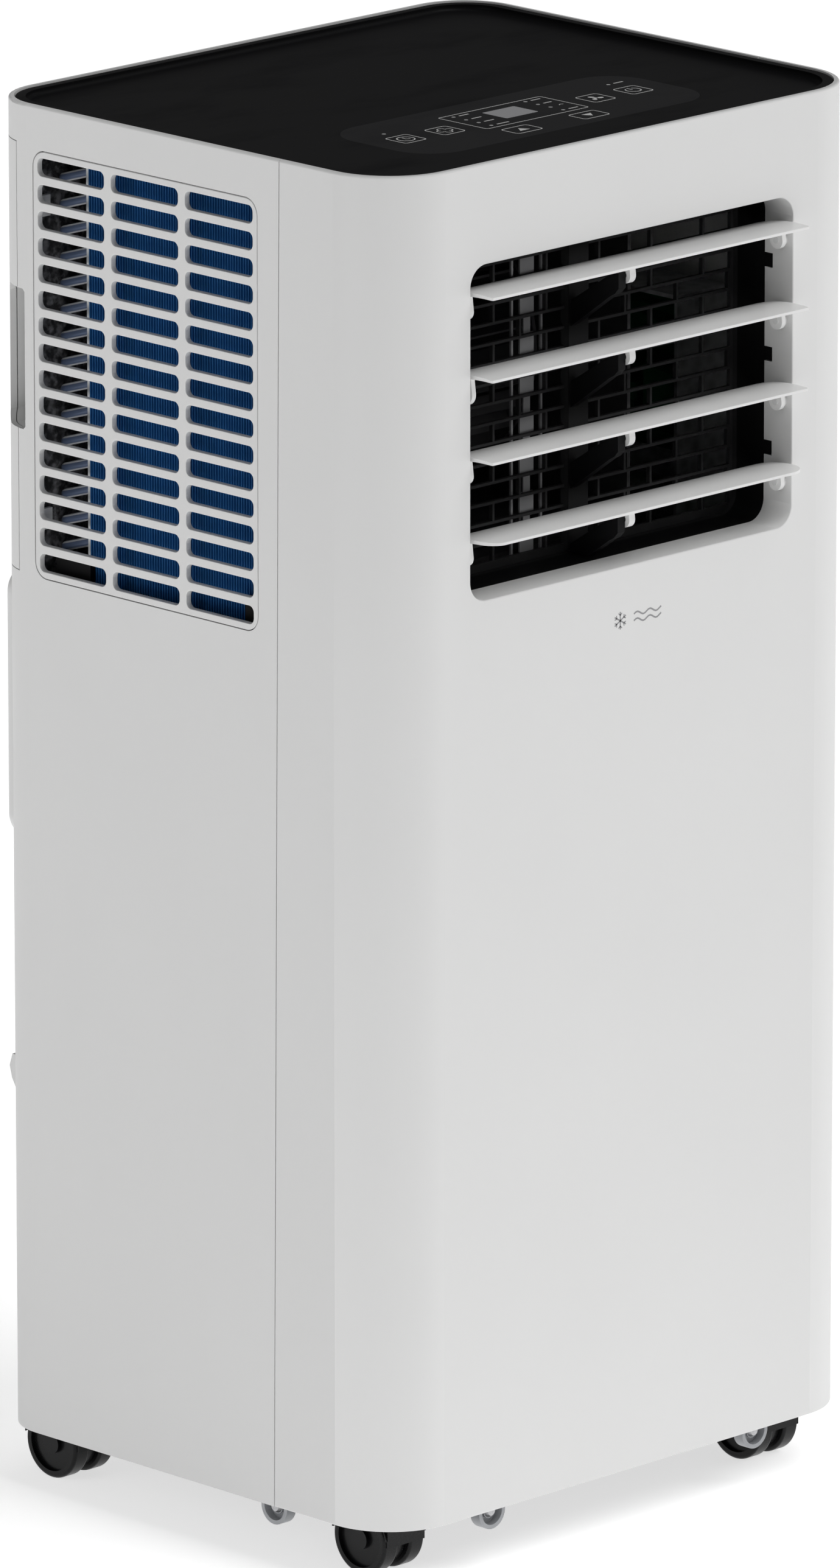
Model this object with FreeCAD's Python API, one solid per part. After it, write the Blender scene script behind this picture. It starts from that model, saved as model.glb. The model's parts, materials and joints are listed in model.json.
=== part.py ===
"""Portable air conditioner on castors, 7000 BTU size, as an assembly of separate solids.

Millimetres, +Z up, front face towards -Y. The origin is on the floor, at the plan centre of the cabinet.
The cabinet is two U-shaped shells that meet at a seam on each side, a black tray top with a touch panel,
an inlet grille over the evaporator, tilting louvres in the front outlet, an exhaust box at the back,
and the refrigeration unit inside.
"""
import math
import os

import FreeCAD
import Part

V = FreeCAD.Vector
X_AXIS, Y_AXIS, Z_AXIS = V(1, 0, 0), V(0, 1, 0), V(0, 0, 1)

# ---- driving dimensions -------------------------------------------------------------------------
# cabinet
cabinet_width = 316.0
cabinet_depth = 268.0
cabinet_height = 642.0
front_corner_radius = 36.0
rear_corner_radius = 30.0
shell_wall = 2.6
shell_edge_radius = 1.2
shell_gap = 0.4                  # between the shells and what sits inside them
seam_gap = 0.5
seam_depth_top = 70.6            # front shell's depth at its top edge
seam_depth_bottom = 76.0         # and at its bottom edge
# top tray
tray_depth = 16.0
tray_rim = 5.0
tray_recess = 3.1
tray_plate = 2.6
tray_drop = 0.6                  # the rim's top sits this far below the shells' top edge
overlay_width = 190.0
overlay_length = 71.0
overlay_radius = 22.0
overlay_thickness = 0.6
overlay_centre_y = -61.0
lens_width = 21.0
lens_length = 16.5
lens_centre_y = -54.0
board_thickness = 1.6
# front air outlet and louvres
outlet_width = 211.4
outlet_height = 157.5
outlet_bottom = 466.5
outlet_radius = 10.0
outlet_frame_depth = 18.0
outlet_frame_wall = 2.0
screw_boss_radius = 4.0
screw_boss_side = 14.0           # from the outlet's sides
screw_boss_inset = 12.0          # from its top and bottom
duct_depth = 22.0
duct_wall = 2.0
snap_height = 7.0
snap_depth = 5.0
snap_first = 33.3               # below the top of the outlet
snap_spread = 0.2845             # between two catches, as a share of the outlet's height
louvre_count = 4
louvre_pitch = 38.5
louvre_top_pivot = 21.8          # top pivot below the top of the outlet
louvre_setback = 6.5             # pivots behind the front face
louvre_end_gap = 1.7             # from each end of a louvre to the outlet's side
louvre_front = 19.7              # blade ahead of its pivot
louvre_rear = 17.9               # blade behind its pivot
louvre_offset = 8.9              # blade's outer skin above the pivot axis
louvre_camber = 2.2
louvre_thickness = 1.8
louvre_edge = 1.2
louvre_rest_tilt = 7.4           # degrees, front edge raised
louvre_corner = 9.0
lug_radius = 4.0
lug_thickness = 2.5
lug_inset = 0.3
pivot_radius = 1.5
running_clearance = 0.06
centre_lug_thickness = 3.8
link_inset = 6.0                 # from the louvres' left ends
link_thickness = 2.4
link_width = 5.0
link_pin_radius = 1.2
link_pin_back = 12.0
link_pin_down = 5.0
link_side_clearance = 1.2
driven_louvre = 1               # the second blade from the top is turned by the motor
drive_lug_radius = 5.4
louvre_motor_radius = 11.0
louvre_motor_length = 18.0
louvre_motor_gap = 0.5           # from the motor to the inside of the front face
louvre_motor_reach = 8.0         # of the shaft inside the motor
motor_ear_reach = 7.0            # of each fixing ear beyond the can
motor_ear_width = 8.0
motor_ear_thickness = 1.2
# guard behind the louvres
guard_thickness = 2.2
guard_bar = 1.3
guard_row = 9.4
guard_brick = 34.5
guard_post_width = 13.0
guard_post_depth = 5.0
arm_thickness = 4.7
arm_slope = 0.62                 # fall per millimetre towards the guard
brace_x = -28.8
brace_thickness = 1.0
brace_tooth = 9.0
brace_core = 4.4
brace_wire = 1.2
brace_wire_reach = 9.6           # from the brace's middle to each of its side wires
# side inlet grille
grille_centre_y = 25.5
grille_width = 148.0
grille_height = 203.0
grille_bottom = 447.0
grille_radius = 8.0
grille_thickness = 3.0
grille_gap = 0.5
grille_columns = 3
grille_rows = 16
slot_width = 44.4
slot_column_gap = 4.6
slot_height = 8.6
slot_row_gap = 3.95
slot_radius = 3.0
clip_inset = 22.0                # from the grille's top and bottom
clip_width = 10.0
clip_length = 6.0
clip_thickness = 2.0
# evaporator behind the grille
coil_gap = 7.0                   # from the back of the grille to the fins
coil_thickness = 26.0
coil_front_y = -50.0
coil_rear_y = 73.0
coil_bottom = 447.5
coil_top = 650.0
end_plate = 1.5
plate_lip = 6.0
bend_radius = 2.2                # of the tube
bend_corner = 5.0
bend_reach = 23.0
bend_drop = 7.1
bend_pitch = 12.55
bend_first = 18.5                # lowest bend above the coil's bottom
drip_tray_depth = 15.0
drip_tray_gap = 0.5              # from the tray's rim to the fins
tray_end_front = 8.0             # the drip tray ahead of the coil
tray_end_rear = 26.0             # and behind it
splash_front = (4.0, 17.0, 13.5)     # splash guards: start and end behind the coil's front, and height
splash_rear = (120.0, 143.0, 11.5)
pad_gap = 0.5                    # from the bends to the foam pad
pad_thickness = 3.0
pad_width = 39.0
# cold air blower
blower_y = 20.0
blower_z = 548.0
blower_wheel_radius = 62.0
blower_wheel_x0 = -84.0
blower_wheel_x1 = 30.0
blower_blades = 28
wheel_plate = 2.0
wheel_ring = 9.0
wheel_hub_radius = 10.0
wheel_hub_length = 14.0
wheel_blade_thickness = 1.2
wheel_blade_twist = 32.0
scroll_radius = 78.0
scroll_wall = 2.0
scroll_x0 = -100.0
scroll_x1 = 46.0
inlet_radius = 48.0
foot_length = 12.0               # of a scroll's feet along its axis
foot_thickness = 6.0
foot_spread = 0.6                # of the scroll's radius, to each side of its axis
mouth_gap = 6.5                  # from the blower's mouth to the back of the duct
mouth_inset = 2.0
motor_radius = 36.0
motor_length = 54.0
motor_stand_off = 8.0            # from the scroll's wall to the motor
motor_hole_share = 0.55          # the scroll's motor hole against the motor's radius
motor_end_wall = 4.0             # left closed behind the shaft
shaft_radius = 4.0
# exhaust blower
exhaust_y = 6.0
exhaust_z = 368.0
exhaust_wheel_radius = 48.0
exhaust_wheel_x0 = -52.0
exhaust_wheel_x1 = 26.0
exhaust_blades = 24
exhaust_scroll_radius = 60.0
exhaust_scroll_x0 = -66.0
exhaust_scroll_x1 = 40.0
exhaust_motor_radius = 34.0
exhaust_motor_length = 56.0
exhaust_mouth_half_height = 44.0
# exhaust box on the back
box_width = 257.0
box_height = 132.0
box_bottom = 305.0
box_reach = 20.0
box_radius = 12.0
box_wall = 2.5
box_edge_radius = 6.0
port_radius = 62.0
port_step = 4.0                  # the hole in the rear shell is this much smaller in radius
port_collar = 3.0
port_length = 18.0
# rear filter cover
cover_bottom = 448.0
cover_top = 652.0
cover_edge_y = 112.0
cover_gap = 0.5
cover_slot_height = 5.0
cover_slot_pitch = 9.5
cover_slot_margin = 20.0         # from the cover's bottom to the lowest slot
cover_columns = 4
cover_field = 206.0
slot_upright = 4.0               # between neighbouring columns of rear slots
filter_inset = 12.0              # from the cover's top and bottom
filter_net = 0.6
filter_bar = 2.4
filter_thickness = 5.0
filter_border = 7.0
# handles in the rear corners
handle_bottom = 516.0
handle_top = 583.0
handle_front_y = 106.0
handle_rear_y = 126.0
handle_front_cut = 1.5           # corner cuts of the opening, at its front edge
handle_rear_cut = 5.0            # and at its rear edge
handle_depth = 20.0
handle_slot = 9.0                # length of the deep part
handle_floor = 8.0               # depth of the rest, under the cabinet's face
handle_wall = 2.0
# condenser, compressor and base
condenser_width = 196.0
condenser_thickness = 32.0
condenser_rear_y = 120.0
condenser_bottom = 76.0
condenser_top = 290.0
rear_slot_height = 5.0
rear_slot_pitch = 10.0
rear_slot_width = 150.0
rear_slot_first = 34.0           # lowest slot above the condenser's bottom
rear_slot_last = 24.0            # highest slot below its top
condenser_bend_radius = 3.5
condenser_bend_reach = 12.0
condenser_bend_pitch = 21.0
condenser_bend_first = 14.0
base_recess = 9.0                # the base tray's underside above the shells' lower edge
base_thickness = 3.0
base_wall = 2.4
base_wall_top = 70.0
deck_height = 432.0
deck_thickness = 2.5
compressor_x = 68.0
compressor_y = -46.0
compressor_radius = 52.0
compressor_bottom = 66.0
compressor_height = 205.0
compressor_dome = 18.0
compressor_foot_radius = 62.0
compressor_foot_thickness = 4.0
compressor_arm_radius = 11.0
compressor_bolt_angles = (30, 150, 270)
grommet_radius = 9.0
grommet_waist = 6.0
grommet_top = 4.0                # above the compressor's feet
bolt_radius = 3.0
accumulator_radius = 21.0
accumulator_height = 120.0
accumulator_gap = 8.0
accumulator_angle = 205.0        # about the compressor, from +X
accumulator_bottom = 110.0
pipe_radius = 4.0
electrical_box_width = 34.0
electrical_box_length = 104.0
electrical_box_height = 128.0
electrical_box_wall = 2.0
electrical_box_gap = 4.0         # to the cabinet's side
capacitor_radius = 16.0
capacitor_length = 70.0
# things on the outside of the back and bottom
lug_disc_radius = 8.5
lug_disc_thickness = 6.0
lug_disc_drop = 10.5             # below the base tray's underside
lug_front_x = 88.0
lug_behind_seam = 3.5
lug_rear_x = 70.0
lug_screw_radius = 1.8
lug_screw_depth = 2.0            # of the head's seat behind the lug's face
hook_x = 113.0
hook_width = 26.0
hook_bottom = 157.0
hook_height = 42.0
hook_reach = 20.0
hook_wall = 3.0
gland_x = 112.0
gland_z = 92.0
gland_radius = 8.0
cord_radius = 3.6                # of the hole that the power cord passes
drain_radius = 7.0
drain_wall = 1.6
drain_length = 14.0              # of the spout, inside the cabinet's back
drain_height = 14.0              # above the base tray's underside
# castors
castor_side_room = 15.5          # beyond a wheel's radius, from the stem to the cabinet's side
castor_front_room = 14.0
castor_rear_room = 12.0
castor_top_room = 3.0            # from the hood to the base tray
castor_trail = 9.0
wheel_radius = 17.0
wheel_width = 9.5
tyre_gap = 0.4                   # between a wheel and its hood
web_gap = 0.3                    # between a wheel and the web beside it
wheel_inner = 3.6                # from the castor's middle to a wheel's inner face
axle_radius = 2.5
hood_margin = 1.0
stem_radius = 4.0
stem_height = 24.0               # of the stem's top above the base tray's underside
socket_wall = 4.0

# ---- derived places -----------------------------------------------------------------------------
base_floor = 2 * wheel_radius + hood_margin + castor_top_room
cabinet_bottom = base_floor - base_recess
half_width = cabinet_width / 2
half_depth = cabinet_depth / 2
cabinet_top = cabinet_bottom + cabinet_height
front_y = -half_depth
rear_y = half_depth
outlet_top = outlet_bottom + outlet_height
frame_rear_y = front_y + outlet_frame_depth
duct_rear_y = frame_rear_y + shell_gap + duct_depth
guard_front_y = duct_rear_y - guard_thickness
louvre_width = outlet_width - 2 * louvre_end_gap
link_x = -louvre_width / 2 + link_inset
louvre_motor_offset = louvre_motor_radius - louvre_setback + shell_wall + louvre_motor_gap
pivot_y = front_y + louvre_setback
pivot_heights = [outlet_top - louvre_top_pivot - i * louvre_pitch for i in range(louvre_count)]
grille_y0 = grille_centre_y - grille_width / 2
grille_y1 = grille_centre_y + grille_width / 2
grille_top = grille_bottom + grille_height
coil_x0 = -half_width + grille_thickness + coil_gap
coil_x1 = coil_x0 + coil_thickness
electrical_box_x1 = half_width - shell_wall - electrical_box_gap
electrical_box_y0 = electrical_box_gap - electrical_box_length / 2
box_top = box_bottom + box_height
box_rear_y = rear_y + box_reach
port_z = box_bottom + box_height / 2
drain_z = base_floor + drain_height
lug_disc_z = base_floor - lug_disc_drop
lug_side_y = front_y + seam_depth_bottom + lug_behind_seam
wheel_outer = wheel_inner + wheel_width
stem_top = base_floor + stem_height
castor_x = half_width - wheel_radius - castor_side_room
castor_front_y = front_y + wheel_radius + castor_front_room
castor_rear_y = rear_y - wheel_radius - castor_rear_room
castors = {
    "castor_front_left": (-castor_x, castor_front_y),
    "castor_front_right": (castor_x, castor_front_y),
    "castor_rear_left": (-castor_x, castor_rear_y),
    "castor_rear_right": (castor_x, castor_rear_y),
}


# ---- building blocks ----------------------------------------------------------------------------
def box(x0, y0, z0, x1, y1, z1):
    return Part.makeBox(x1 - x0, y1 - y0, z1 - z0, V(x0, y0, z0))


def rod(start, axis, radius, length):
    return Part.makeCylinder(radius, length, start, axis)


def tube(start, axis, outer, inner, length):
    return rod(start, axis, outer, length).cut(rod(start, axis, inner, length))


def in_plane(normal, a, b, n):
    """The point at (a, b) of the plane that is square to the axis named normal, at n along it."""
    return {"x": V(n, a, b), "y": V(a, n, b), "z": V(a, b, n)}[normal]


def prism(normal, points, n0, n1):
    """A polygon of (a, b) points, drawn square to an axis and extruded from n0 to n1 along it."""
    corners = [in_plane(normal, a, b, n0) for a, b in points]
    face = Part.Face(Part.makePolygon(corners + corners[:1]))
    return face.extrude(in_plane(normal, 0, 0, n1) - in_plane(normal, 0, 0, n0))


def rounded_prism(normal, a0, b0, a1, b1, radii, n0, n1):
    """A rectangle with rounded corners, drawn square to an axis and extruded from n0 to n1.
    radii is one radius, or four in the order of the corners (a0, b0), (a1, b0), (a1, b1), (a0, b1)."""
    radii = radii if isinstance(radii, (list, tuple)) else [radii] * 4
    corners = [(a0, b0), (a1, b0), (a1, b1), (a0, b1)]
    inward = [(1, 1), (-1, 1), (-1, -1), (1, -1)]
    edges = []
    previous = None
    first = None
    for i, ((a, b), (ia, ib), r) in enumerate(zip(corners, inward, radii)):
        along_a = i in (1, 3)
        start = (a + ia * r, b) if along_a else (a, b + ib * r)
        end = (a, b + ib * r) if along_a else (a + ia * r, b)
        bulge = r * (1 - math.sqrt(0.5))
        middle = (a + ia * bulge, b + ib * bulge)
        start, middle, end = (in_plane(normal, p[0], p[1], n0) for p in (start, middle, end))
        if previous is not None:
            edges.append(Part.LineSegment(previous, start).toShape())
        else:
            first = start
        edges.append(Part.Arc(start, middle, end).toShape())
        previous = end
    edges.append(Part.LineSegment(previous, first).toShape())
    face = Part.Face(Part.Wire(edges))
    return face.extrude(in_plane(normal, 0, 0, n1) - in_plane(normal, 0, 0, n0))


def cabinet_prism(inset, z0, z1):
    """The cabinet's plan outline, moved inwards by inset, between two heights."""
    front, rear = front_corner_radius - inset, rear_corner_radius - inset
    return rounded_prism("z", -half_width + inset, front_y + inset, half_width - inset, rear_y - inset,
                         (front, front, rear, rear), z0, z1)


def mirrored_x(shape):
    return shape.mirror(V(0, 0, 0), X_AXIS)


def fuse_all(shapes):
    joined = shapes[0].multiFuse(shapes[1:]) if len(shapes) > 1 else shapes[0]
    return joined.removeSplitter()


def swept_pipe(points, radius, bend):
    """A round tube along straight runs with a tangent arc of radius bend at each inner point."""
    edges = []
    last = points[0]
    for before, corner, after in zip(points, points[1:], points[2:]):
        back = (before - corner).normalize()
        ahead = (after - corner).normalize()
        half_angle = back.getAngle(ahead) / 2
        cut_back = bend / math.tan(half_angle)
        start, end = corner + back * cut_back, corner + ahead * cut_back
        to_centre = (back + ahead).normalize()
        middle = corner + to_centre * (bend / math.sin(half_angle) - bend)
        edges.append(Part.LineSegment(last, start).toShape())
        edges.append(Part.Arc(start, middle, end).toShape())
        last = end
    edges.append(Part.LineSegment(last, points[-1]).toShape())
    path = Part.Wire(edges)
    direction = (points[1] - points[0]).normalize()
    section = Part.Wire([Part.Circle(points[0], direction, radius).toShape()])
    return path.makePipeShell([section], True, True)


# ---- cabinet ------------------------------------------------------------------------------------
def cabinet_shell():
    solid = cabinet_prism(0, cabinet_bottom, cabinet_top)
    top_edges = [e for e in solid.Edges if e.BoundBox.ZMin > cabinet_top - 0.01]
    solid = solid.makeFillet(shell_edge_radius, top_edges)
    return solid.cut(cabinet_prism(shell_wall, cabinet_bottom - 1, cabinet_top + 1))


def in_front_of_seam(extra):
    """A block that holds everything ahead of the slanted seam, with its rear face moved back by extra."""
    far, margin = cabinet_depth, 5.0
    slope = (seam_depth_bottom - seam_depth_top) / cabinet_height
    top = front_y + seam_depth_top - slope * margin + extra
    bottom = front_y + seam_depth_bottom + slope * margin + extra
    outline = [(-far, cabinet_bottom - margin), (bottom, cabinet_bottom - margin),
               (top, cabinet_top + margin), (-far, cabinet_top + margin)]
    return prism("x", outline, -cabinet_width, cabinet_width)


def outlet_opening(margin, y0, y1):
    w = outlet_width / 2 + margin
    return rounded_prism("y", -w, outlet_bottom - margin, w, outlet_top + margin,
                         outlet_radius + margin, y0, y1)


def snap_heights():
    """Three catches, spread evenly over the outlet's height."""
    pitch = outlet_height * snap_spread
    return [outlet_top - snap_first - i * pitch for i in range(3)]


def snap_notches(margin, y0):
    side = outlet_width / 2
    tabs = []
    for z in snap_heights():
        tab = box(side - 1, y0, z - snap_height / 2 + margin,
                  side + outlet_frame_wall + 1, frame_rear_y + 1, z + snap_height / 2 - margin)
        tabs += [tab, mirrored_x(tab)]
    return tabs


def pivot_pegs():
    """The pegs that the louvres' ends turn on. The motor's shaft takes the place of one of them."""
    side = outlet_width / 2
    boss_length = side - louvre_width / 2 - 0.6
    peg_length = side - louvre_width / 2 + lug_inset + lug_thickness + 0.5
    pegs = []
    for i, z in enumerate(pivot_heights):
        end = V(side + outlet_frame_wall / 2, pivot_y, z)
        peg = rod(end, -X_AXIS, pivot_radius, peg_length + outlet_frame_wall / 2)
        boss = rod(end, -X_AXIS, pivot_radius * 2, boss_length + outlet_frame_wall / 2)
        pegs += [peg, boss]
        if i != driven_louvre:
            pegs += [mirrored_x(peg), mirrored_x(boss)]
    return pegs


def drive_shaft(radius):
    """The louvre motor's shaft, from the driven louvre's lug out through the outlet's left wall."""
    inner = -louvre_width / 2 + lug_inset + lug_thickness + 0.5
    outer = -outlet_width / 2 - outlet_frame_wall - louvre_motor_reach
    return rod(V(outer, pivot_y, pivot_heights[driven_louvre]), X_AXIS, radius, inner - outer)


def louvre_motor():
    """A small geared motor on the outlet's left wall. Its output shaft is off its centre."""
    z = pivot_heights[driven_louvre]
    face = -outlet_width / 2 - outlet_frame_wall
    centre = V(face, pivot_y + louvre_motor_offset, z)
    can = rod(centre, -X_AXIS, louvre_motor_radius, louvre_motor_length)
    ear_half, ear_width = louvre_motor_radius + motor_ear_reach, motor_ear_width / 2
    ears = rounded_prism("x", centre.y - ear_width, z - ear_half, centre.y + ear_width, z + ear_half,
                         ear_width - 0.1, face - motor_ear_thickness, face)
    connector = box(face - louvre_motor_length + 1.0, centre.y + louvre_motor_radius - 2.0, z - 6.0,
                    face - 3.0, centre.y + louvre_motor_radius + 3.0, z + 6.0)
    motor = fuse_all([can, ears, connector])
    screw_holes = [rod(V(face + 1, centre.y, z + side * (ear_half - ear_width)), -X_AXIS, 1.5, 4.0)
                   for side in (-1, 1)]
    return motor.cut(Part.makeCompound(screw_holes + [drive_shaft(pivot_radius + running_clearance)]))


def front_panel():
    panel = cabinet_shell().common(in_front_of_seam(0))
    frame = outlet_opening(outlet_frame_wall, front_y + shell_wall / 2, frame_rear_y)
    panel = panel.fuse(frame).cut(outlet_opening(0, front_y - 1, frame_rear_y + 1))
    panel = panel.cut(Part.makeCompound(snap_notches(0, frame_rear_y - snap_depth)))
    side = outlet_width / 2 + screw_boss_side
    bosses = [rod(V(x, frame_rear_y, z), -Y_AXIS, screw_boss_radius, frame_rear_y - front_y - shell_wall / 2)
              for x in (-side, side)
              for z in (outlet_bottom + screw_boss_inset, outlet_top - screw_boss_inset)]
    return fuse_all([panel] + bosses + pivot_pegs()).cut(drive_shaft(pivot_radius + running_clearance))


def handle_outline(margin):
    """The finger opening that runs round a rear corner, as (y, z) points."""
    y0, y1 = handle_front_y - margin, handle_rear_y + margin
    z0, z1 = handle_bottom - margin, handle_top + margin
    a, b = handle_front_cut, handle_rear_cut
    return [(y0, z0 + a), (y0 + a, z0), (y1 - b, z0), (y1, z0 + b),
            (y1, z1 - b), (y1 - b, z1), (y0 + a, z1), (y0, z1 - a)]


def handle_openings():
    left = prism("x", handle_outline(0), -half_width - 1, -half_width + handle_depth)
    return [left, mirrored_x(left)]


def handle_cavity(margin):
    """The room behind a finger opening: a deep slot at its front, and a shallow floor round the corner."""
    far = -half_width + handle_depth + margin
    z0, z1 = handle_bottom - margin, handle_top + margin
    deep = box(-half_width - 1, handle_front_y - margin, z0, far, handle_front_y + handle_slot + margin, z1)
    shallow = box(-half_width - 1, handle_front_y - margin, z0, far, handle_rear_y + margin, z1)
    shallow = shallow.cut(cabinet_prism(handle_floor + margin, cabinet_bottom, cabinet_top))
    opening = prism("x", handle_outline(margin), -half_width - 1, far)
    return opening.common(deep.fuse(shallow))


def cover_block(margin):
    """The space of the rear filter cover in the rear shell's wall."""
    return box(-half_width - 1, cover_edge_y - margin, cover_bottom - margin,
               half_width + 1, rear_y + 1, cover_top + margin)


def rear_slots():
    """Inlet slots in front of the condenser, in two fields, with the uprights left between them."""
    first = condenser_bottom + rear_slot_first
    rows = int((condenser_top - rear_slot_last - first) / rear_slot_pitch)
    return slot_field(first, rows, rear_slot_pitch, rear_slot_height, rear_slot_width, 3)


def slot_field(first, rows, pitch, height, width, columns):
    """Round-ended slots through the back wall, in rows from the height first up."""
    slots = []
    column = width / columns
    half = (column - slot_upright) / 2
    for row in range(rows):
        z = first + row * pitch
        for i in range(columns):
            x = -width / 2 + (i + 0.5) * column
            slots.append(rounded_prism("y", x - half, z, x + half, z + height, height / 2 - 0.1,
                                       rear_y - 6, rear_y + 2))
    return slots


def rear_shell():
    shell = cabinet_shell().cut(in_front_of_seam(seam_gap))
    side_hole = rounded_prism("x", grille_y0 - grille_gap, grille_bottom - grille_gap,
                              grille_y1 + grille_gap, grille_top + grille_gap,
                              grille_radius, -half_width - 1, -half_width + 6)
    cuts = [side_hole, cover_block(cover_gap)] + handle_openings() + rear_slots()
    cuts.append(rod(V(0, rear_y - 8, port_z), Y_AXIS, port_radius - port_step, 12))
    cuts.append(rod(V(gland_x, rear_y - 8, gland_z), Y_AXIS, gland_radius, 12))
    cuts.append(rod(V(0, rear_y - 8, drain_z), Y_AXIS, drain_radius + 2, 12))
    return shell.cut(Part.makeCompound(cuts))


def rear_filter_cover():
    cover = cabinet_shell().common(cover_block(0))
    rows = int((cover_top - cover_bottom - 2 * cover_slot_margin + 4) / cover_slot_pitch)
    slots = slot_field(cover_bottom + cover_slot_margin, rows, cover_slot_pitch, cover_slot_height,
                       cover_field, cover_columns)
    return cover.cut(Part.makeCompound(handle_openings() + slots))


def rear_filter():
    """A flat frame with a thin net in it, against the inner face of the rear cover."""
    w = cover_field / 2 + 3
    z0, z1 = cover_bottom + filter_inset, cover_top - filter_inset
    y1 = rear_y - shell_wall
    y0 = y1 - filter_thickness
    frame = rounded_prism("y", -w, z0, w, z1, 4, y0, y1)
    side, low, high = w - filter_border, z0 + filter_border, z1 - filter_border
    window = box(-side, y0 - 1, low, side, y1 + 1, high)
    net = box(-side - 1, y0 + 2, low - 1, side + 1, y0 + 2 + filter_net, high + 1)
    bars = [box(x - filter_bar / 2, y0, z0 + 2, x + filter_bar / 2, y1 - 0.5, z1 - 2)
            for x in (-cover_field / 6, cover_field / 6)]
    return fuse_all([frame.cut(window), net] + bars)


def handle_cups():
    """Finger cups behind the openings that run round the two rear corners."""
    room = cabinet_prism(shell_wall + shell_gap, cabinet_bottom, cabinet_top)
    cup = handle_cavity(handle_wall).cut(handle_cavity(0)).common(room)
    return [cup, mirrored_x(cup)]


def side_grille():
    x0, x1 = -half_width, -half_width + grille_thickness
    plate = rounded_prism("x", grille_y0, grille_bottom, grille_y1, grille_top,
                          grille_radius - grille_gap, x0, x1)
    across = grille_columns * slot_width + (grille_columns - 1) * slot_column_gap
    up = grille_rows * slot_height + (grille_rows - 1) * slot_row_gap
    first_y = grille_centre_y - across / 2
    first_z = grille_bottom + (grille_height - up) / 2
    slots = []
    for column in range(grille_columns):
        y = first_y + column * (slot_width + slot_column_gap)
        for row in range(grille_rows):
            z = first_z + row * (slot_height + slot_row_gap)
            slots.append(rounded_prism("x", y, z, y + slot_width, z + slot_height,
                                       slot_radius, x0 - 1, x1 + 1))
    plate = plate.cut(Part.makeCompound(slots))
    clips = []
    for z0 in (grille_bottom + clip_inset, grille_top - clip_inset - clip_width):
        for y0, y1 in ((grille_y0, grille_y0 + clip_thickness), (grille_y1 - clip_thickness, grille_y1)):
            clips.append(box(x1 - 0.5, y0, z0, x1 + clip_length, y1, z0 + clip_width))
    return fuse_all([plate] + clips)


# ---- top ----------------------------------------------------------------------------------------
def tray_top():
    return cabinet_top - tray_drop


def tray_face():
    return tray_top() - tray_recess


def overlay_prism(margin, z0, z1):
    w, l = overlay_width / 2 + margin, overlay_length / 2 + margin
    return rounded_prism("z", -w, overlay_centre_y - l, w, overlay_centre_y + l,
                         overlay_radius + margin, z0, z1)


def lens_prism(margin, z0, z1):
    w, l = lens_width / 2 + margin, lens_length / 2 + margin
    return rounded_prism("z", -w, lens_centre_y - l, w, lens_centre_y + l, 1.0, z0, z1)


def top_cover():
    inset = shell_wall + shell_gap
    z0 = tray_top() - tray_depth
    cover = cabinet_prism(inset, z0, tray_top())
    rims = [e for e in cover.Edges if e.BoundBox.ZMin > tray_top() - 0.01]
    cover = cover.makeFillet(0.8, rims)
    recess = cabinet_prism(inset + tray_rim, tray_face(), tray_top() + 2)
    floor_edges = [e for e in recess.Edges if e.BoundBox.ZMax < tray_face() + 0.01]
    cover = cover.cut(recess.makeFillet(2.0, floor_edges))
    cover = cover.cut(cabinet_prism(inset + 2.2, z0 - 1, tray_face() - tray_plate))
    cover = cover.cut(overlay_prism(0.1, tray_face() - overlay_thickness, tray_face() + 1))
    cover = cover.cut(lens_prism(0.1, tray_face() - tray_plate - 1, tray_face() + 1))
    posts = [rod(V(x, overlay_centre_y + y, tray_face() - tray_plate + 0.2), -Z_AXIS, 3.0, 4.2)
             for x in (-82, 82) for y in (-26, 26)]
    return fuse_all([cover] + posts)


def touch_overlay():
    film = overlay_prism(0, tray_face() - overlay_thickness, tray_face())
    return film.cut(lens_prism(0.1, tray_face() - 2, tray_face() + 1))


def display_lens():
    return lens_prism(0, tray_face() - tray_plate, tray_face() - 0.05)


def control_board():
    top = tray_face() - tray_plate - 4.0
    board = box(-92, overlay_centre_y - 30, top - board_thickness, 92, overlay_centre_y + 30, top)
    z = top - 0.2
    display = box(-lens_width / 2 - 2, lens_centre_y - 10, z,
                  lens_width / 2 + 2, lens_centre_y + 10, top + 3.8)
    buzzer = rod(V(60, overlay_centre_y, top - board_thickness + 0.2), -Z_AXIS, 6, 5)
    connector = box(-80, overlay_centre_y - 8, top - board_thickness - 6, -60, overlay_centre_y + 8,
                    top - board_thickness + 0.2)
    return fuse_all([board, display, buzzer, connector])


# ---- front outlet -------------------------------------------------------------------------------
def outlet_duct():
    y0, y1 = frame_rear_y + shell_gap, duct_rear_y
    duct = outlet_opening(duct_wall, y0, y1).cut(outlet_opening(0, y0 - 1, y1 + 1))
    side = outlet_width / 2
    tabs = []
    for z in snap_heights():
        tab = box(side + 0.2, frame_rear_y - snap_depth + 0.5, z - snap_height / 2 + 0.4,
                  side + duct_wall - 0.2, y0 + 1, z + snap_height / 2 - 0.4)
        tabs += [tab, mirrored_x(tab)]
    return fuse_all([duct] + tabs)


def guard_row_heights():
    rows = int((outlet_height - 2 * guard_bar) / guard_row)
    bottom = outlet_bottom + (outlet_height - rows * guard_row + guard_bar) / 2
    return [bottom + row * guard_row for row in range(rows)]


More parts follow.
